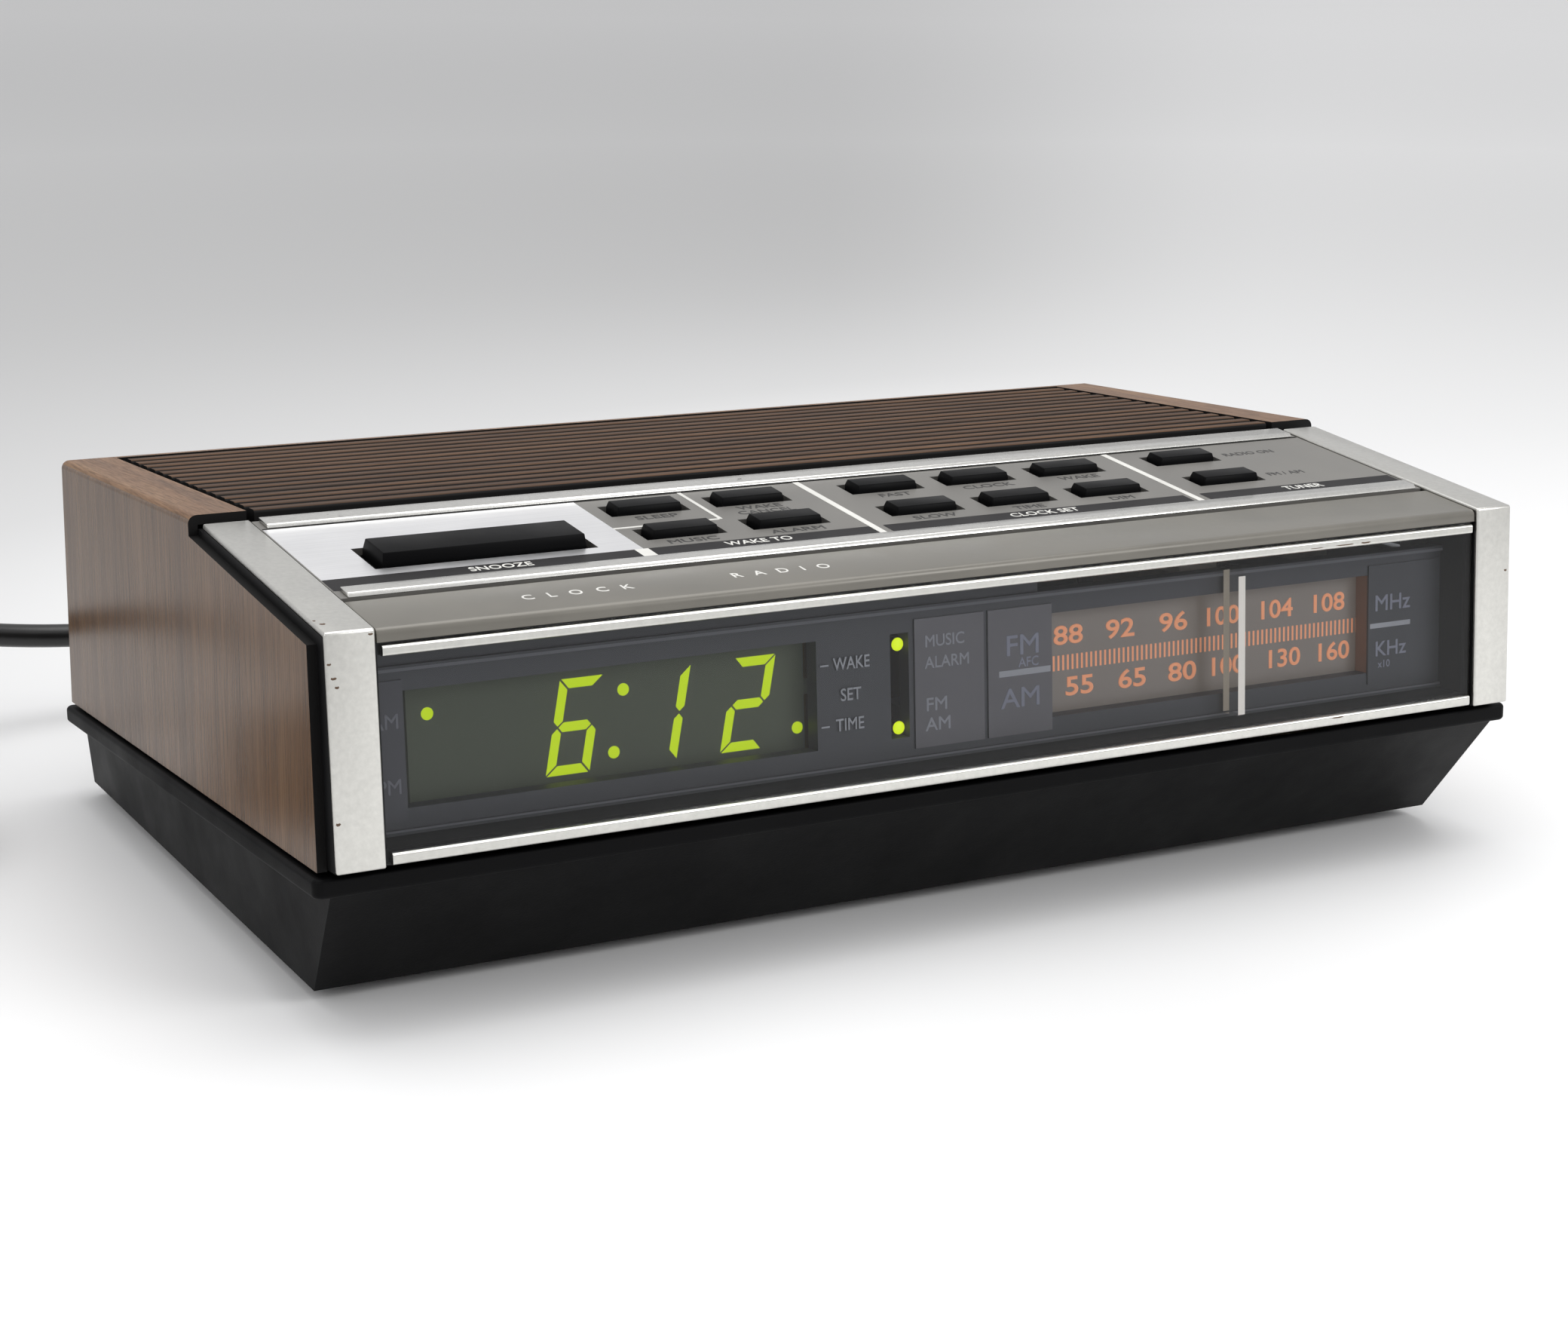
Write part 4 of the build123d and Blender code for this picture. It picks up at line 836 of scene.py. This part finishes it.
# ---- the wood shell and the grille: which faces are skin and which are cut edges ----
def dress(node, materials, choose):
    """Gives each face of a CAD node a material, from its middle and normal on the cabinet."""
    obj = frame["nodes"][node]
    obj.data.materials.clear()
    for material in materials:
        obj.data.materials.append(material)
    to_cabinet = CABINET.inverted()
    turn_back = to_cabinet.to_3x3()
    for face in obj.data.polygons:
        middle = (to_cabinet @ face.center) / MM
        face.material_index = choose(middle, turn_back @ face.normal)


def shell_face(middle, normal):
    """0 side skin, 1 top skin, 2 cut edge or inside (black, also painted shade in the gaps), 3 back."""
    if normal.z > 0.5 and middle.z > CABINET_TOP - SKIN_DEPTH and abs(middle.x) > RAIL_INSIDE:
        return 1
    if abs(normal.x) > 0.3 and abs(middle.x) > CABINET_HALF - SKIN_DEPTH and middle.x * normal.x > 0:
        return 0
    if normal.z > 0.9 and middle.z > CABINET_TOP - LEVEL_SLACK:
        return 1
    return 3 if normal.y > 0.9 and middle.y > CABINET_BACK else 2


def grille_face(middle, normal):
    """0 the crown of a rib, 1 its sides and the frame below, in black as painted shade in the grooves."""
    return 0 if middle.z > CABINET_TOP - RIB_CROWN and normal.z > 0.75 else 1


def window_face(middle, normal):
    """0 the face towards the viewer, which has the mirror, 1 the back and the edges."""
    return 0 if normal.y < -0.9 else 1


dress("window_lens", [lens_clear, lens_inside], window_face)
dress("display_filter", [filter_green, filter_inside], window_face)
# the shell's cut edges and insides and the ribs' sides take black: painted shade in the gaps and grooves
dress("cabinet_shell", [walnut_side, walnut_top, black_and_painted_shade, back_brown], shell_face)
dress("speaker_grille", [walnut_rib, black_and_painted_shade], grille_face)

# ---- mouldings with rounded edges ----
for name in ("left_band", "right_band"):
    softened(name, SILVER_ROUND, silver, segments=3)
softened("lower_panel_bar", BAR_ROUND, bar_foil)
softened("upper_panel_bar", BAR_ROUND, worn_foil)
softened("fascia_strip", FASCIA_ROUND, fascia_taupe)
for name in [node for node in frame["nodes"] if node.endswith("_key")]:
    softened(name, KEY_ROUND, key_black, segments=3)
softened("snooze_bar", SNOOZE_ROUND, key_black, segments=3)
softened("base_tub", BASE_ROUND, base_charcoal, sharp=40)


# ---- thin printed and plated fields, and a painted shadow line ----
def field(name, plane, boxes, material, riding="chassis"):
    """One piece made of flat boxes, each given as (x, up, out) pairs on a plane."""
    bm = bmesh.new()
    for x, up, out in boxes:
        add_box(bm, plane, x, up, out)
    new_piece(name, mesh_from(bm, name), riding, [material])


(hole_left, hole_right), (hole_low, hole_high) = SNOOZE_HOLE
plate_left, plate_right = ALUMINIUM_X
field(
    "aluminium_plate",
    SLOPE,
    [
        ((plate_left, hole_left), (PANEL_LOW, PANEL_HIGH), PLATE),
        ((hole_right, plate_right), (PANEL_LOW, PANEL_HIGH), PLATE),
        ((hole_left, hole_right), (PANEL_LOW, hole_low), PLATE),
        ((hole_left, hole_right), (hole_high, PANEL_HIGH), PLATE),
    ],
    brushed,
)
field("dark_bands", SLOPE, [(x, BAND_UP, PRINT) for x in DARK_BANDS], band_grey)
# painted shadow: a black strip along the foot of the upper bar
field(
    "bar_shadow",
    SLOPE,
    [((-PANEL_HALF, PANEL_HALF), (PANEL_HIGH - BAR_SHADOW, PANEL_HIGH), (PANEL_OUT, PRINT[1] + INK))],
    black_and_painted_shade,
)
white_lines = [(x, up, (PANEL_OUT, PRINT[1])) for x, up in WHITE_LINES]
field("white_lines", SLOPE, white_lines, white_ink)

# ---- lettering on the key panel and the fascia ----
lettering(
    "panel_words",
    SLOPE,
    PRINT[1],
    white_ink,
    [(text, x, BAND_WORDS_UP, BAND_WORDS_CAP, "CENTER", 1.0) for text, x in BAND_WORDS],
)
lettering("key_words", SLOPE, PANEL_OUT, key_ink, KEY_WORDS)
lettering(
    "fascia_words",
    SLOPE,
    PANEL_OUT,
    white_ink,
    [(text, x, FASCIA_WORDS_UP, FASCIA_WORDS_CAP, "CENTER", 1.0) for text, x in FASCIA_WORDS],
    spacing=FASCIA_SPACING,
)

# ---- behind the window ----
plates = [(x, LABEL_UP, LABEL_PLATE) for x in MIDDLE_LABELS]
field("label_plates", FRONT, plates, label_grey)
# painted highlight: light strips along the lit edges of the mask's two ledges
ledges = [((-MASK_HALF, MASK_HALF), up, LEDGE_LEVELS) for up in LEDGE_LINES]
field("mask_ledge_highlights", FRONT, ledges, ledge_painted_highlight)
field("mask_head", FRONT, MASK_HEAD, mask_grey)
field("left_label", FRONT, [(LEFT_LABEL, LABEL_UP, LABEL_PLATE)], mask_light)
lettering("window_words", FRONT, LABEL_PLATE[1], label_ink, CLOCK_WORDS)
lettering("window_words_faint", FRONT, LABEL_PLATE[1], faint_ink, LAMP_WORDS)
lettering("half_day_words", FRONT, LABEL_PLATE[1], dim_ink, HALF_DAY_WORDS)
lettering("band_words", FRONT, LABEL_PLATE[1], band_ink, BAND_NAMES)
label_lines = [(x, up, (LABEL_OUT, LABEL_PLATE[1] + INK)) for x, up in LABEL_LINES]
field("label_lines", FRONT, label_lines, label_ink)

numerals = [
    (text, x, up, MARK_CAP, "CENTER", MARK_STRETCH[len(text)])
    for marks, up in ((FM_MARKS, FM_UP), (AM_MARKS, AM_UP))
    for text, x in marks
]
# the dial's numerals and ticks: orange print with a painted glow
lettering("dial_numerals", FRONT, DIAL_PRINT, dial_orange_painted_glow, numerals, weight=MARK_WEIGHT)
# painted glow on the right wall of the dial's opening
field("dial_wall_painted_glow", FRONT, [DIAL_WALL_PAINTED_GLOW], dial_wall_painted_glow)
tick_starts = [TICK_START + TICK_PITCH * i for i in range(TICK_COUNT)]
ticks = [((x, x + TICK_WIDTH), TICK_UP, (DIAL_OUT, DIAL_PRINT + INK)) for x in tick_starts]
field("dial_ticks", FRONT, ticks, dial_orange_painted_glow)


# ---- the clock's digits ----
def segment_outlines():
    """The seven segments of a digit as (x, up) outlines, before the slant."""
    w, h, t, g = DIGIT_WIDTH, DIGIT_HEIGHT, DIGIT_STROKE, DIGIT_GAP
    mid, half = h / 2, t / 2
    low, high = mid - half, mid + half
    return {
        "a": [(g, h), (w - g, h), (w - t - g, h - t), (t + g, h - t)],
        "b": [(w, h - g), (w, high + g), (w - half, mid + g), (w - t, high + g), (w - t, h - t - g)],
        "c": [(w, g), (w - t, t + g), (w - t, low - g), (w - half, mid - g), (w, low - g)],
        "d": [(g, 0), (t + g, t), (w - t - g, t), (w - g, 0)],
        "e": [(0, g), (0, low - g), (half, mid - g), (t, low - g), (t, t + g)],
        "f": [(0, h - g), (t, h - t - g), (t, high + g), (half, mid + g), (0, high + g)],
        "g": [
            (half + g, mid), (t + g, high), (w - t - g, high),
            (w - half - g, mid), (w - t - g, low), (t + g, low),
        ],
    }


def clock_digits(material):
    """The lit segments and dots of the clock."""
    bm = bmesh.new()
    lean = math.tan(DIGIT_SLANT)
    outlines = segment_outlines()
    for left, digit in DIGITS:
        for segment in SEGMENTS[digit]:
            outline = [(left + x + up * lean, DIGIT_BOTTOM + up) for x, up in outlines[segment]]
            add_prism(bm, FRONT, outline, DIGIT_LEVELS)
    for x, up in DIGIT_DOTS:
        add_disc(bm, FRONT, x, up, DOT_RADIUS, DIGIT_LEVELS)
    new_piece("clock_digits", mesh_from(bm, "clock_digits"), "chassis", [material])


def lamp_dots(material):
    """The lit domes of the two lamps."""
    bm = bmesh.new()
    for x, up in LAMP_AT:
        add_disc(bm, FRONT, x, up, LAMP_RADIUS, LAMP_LEVELS, LAMP_DOME)
    smooth(new_piece("lamp_dots", mesh_from(bm, "lamp_dots"), "chassis", [material]))


clock_digits(digit_glow)
lamp_dots(digit_glow)

# ---- the pointer's clear blade shines along its edges: painted highlights with a glow of their own ----
for name, half, up, out, bright in POINTER_EDGES:
    edge = ((POINTER_X - half, POINTER_X + half), up, (out, out + POINTER_EDGE_DEPTH))
    paint = pointer_white_painted_glow if bright else pointer_dim_painted_glow
    field(name, FRONT, [edge], paint, "pointer")

# ---- chips in the silver bands and in the window's two strips ----
CHIP_LEVELS = (0.0, 0.015)
TRIM_CHIP_LEVELS = (-0.12, -0.085)
CHIP_SHAPE = [(-1.0, -0.2), (-0.4, -0.9), (0.5, -0.7), (1.0, 0.1), (0.6, 0.8), (-0.3, 0.6), (-0.8, 0.9)]
CHIPS = [  # plane, x, up, half width, half height, levels
    (FRONT, -132.2, 44.3, 0.5, 0.25, CHIP_LEVELS),
    (FRONT, -140.5, 39.5, 0.45, 0.25, CHIP_LEVELS),
    (FRONT, -139.7, 36.8, 0.6, 0.3, CHIP_LEVELS),
    (FRONT, -139.2, 35.1, 0.45, 0.3, CHIP_LEVELS),
    (FRONT, -140.3, 9.6, 0.5, 0.35, CHIP_LEVELS),
    (SLOPE, -139.6, 5.0, 0.6, 0.5, CHIP_LEVELS),
    (SLOPE, -140.4, 7.2, 0.3, 0.4, CHIP_LEVELS),
    (FRONT, 139.8, 30.6, 0.4, 0.3, CHIP_LEVELS),
    (FRONT, 86.0, 40.45, 1.9, 0.10, TRIM_CHIP_LEVELS),
    (FRONT, 93.5, 40.5, 2.6, 0.16, TRIM_CHIP_LEVELS),
    (FRONT, 99.5, 40.5, 1.4, 0.22, TRIM_CHIP_LEVELS),
    (FRONT, 92.0, 2.1, 1.7, 0.20, TRIM_CHIP_LEVELS),
]


def chips(material):
    """All the chips as one piece, every second one turned left for right."""
    bm = bmesh.new()
    for i, (plane, x, up, half_wide, half_high, levels) in enumerate(CHIPS):
        flip = -1 if i % 2 else 1
        outline = [(x + flip * half_wide * a, up + half_high * b) for a, b in CHIP_SHAPE]
        add_prism(bm, plane, outline, levels)
    new_piece("chips", mesh_from(bm, "chips"), "chassis", [material])


chips(chip_brown)

# ---- the cloth under the grille, which hides the speaker ----
field("grille_cloth", TOP, [CLOTH], cone_paper)


# ---- the floor, the lights and the room ----
def floor():
    """A disc of pale paper whose tone goes with distance, between a dark and a light side: painted light
    and shade on the floor.
    """
    bm = bmesh.new()
    bmesh.ops.create_circle(bm, cap_ends=True, radius=FLOOR_RADIUS, segments=FLOOR_SIDES)
    mesh = bpy.data.meshes.new("floor")
    bm.to_mesh(mesh)
    bm.free()
    disc = bpy.data.objects.new("floor", mesh)
    bpy.context.scene.collection.objects.link(disc)
    paint = Paint("floor_paper", grey(0.8), FLOOR_ROUGHNESS)
    place = paint.node("TexCoord")
    length = paint.node("VectorMath", operation="DISTANCE")
    length.inputs[1].default_value = FLOOR_CENTRE
    paint.link(place.outputs["Object"], length.inputs[0])
    reach = paint.span(length.outputs["Value"], 0.0, FLOOR_FADE, 0.0, 1.0)
    dark, light = (
        paint.ramp(reach, [(share, grey(tone)) for share, tone in tones], "B_SPLINE")
        for tones in (FLOOR_DARK_SIDE, FLOOR_LIGHT_SIDE)
    )
    from_foot = paint.node("Mapping", vector_type="POINT")
    from_foot.inputs["Location"].default_value = (-CAMERA_AT.x, -CAMERA_AT.y, 0.0)
    paint.link(place.outputs["Object"], from_foot.inputs["Vector"])
    turned = paint.node("TexGradient", gradient_type="RADIAL")
    paint.link(from_foot.outputs["Vector"], turned.inputs["Vector"])
    # the gradient grows by 1 over a full turn and is 0.5 along X
    sides = [(0.5 + angle / 360, grey(share)) for angle, share in FLOOR_TURN]
    paint.base(paint.blend(paint.ramp(turned.outputs["Fac"], sides, "EASE"), dark, light))
    mesh.materials.append(paint.material)


def area_light(name, at, aim_height, size, power):
    """A rectangular lamp that points at a height above the middle of the radio."""
    data = bpy.data.lights.new(name, "AREA")
    data.shape = "RECTANGLE"
    data.size, data.size_y = size
    data.energy = power
    lamp = bpy.data.objects.new(name, data)
    lamp.location = at
    aim = Vector((0, 0, aim_height)) - Vector(at)
    lamp.rotation_euler = aim.to_track_quat("-Z", "Y").to_euler()
    bpy.context.scene.collection.objects.link(lamp)


floor()
world = bpy.data.worlds.new("room")
world.use_nodes = True
backdrop = world.node_tree.nodes["Background"]
backdrop.inputs["Color"].default_value = ROOM_SHADE
backdrop.inputs["Strength"].default_value = ROOM_STRENGTH
bpy.context.scene.world = world
bpy.context.scene.view_settings.view_transform = "Standard"
for light in LIGHTS:
    area_light(*light)
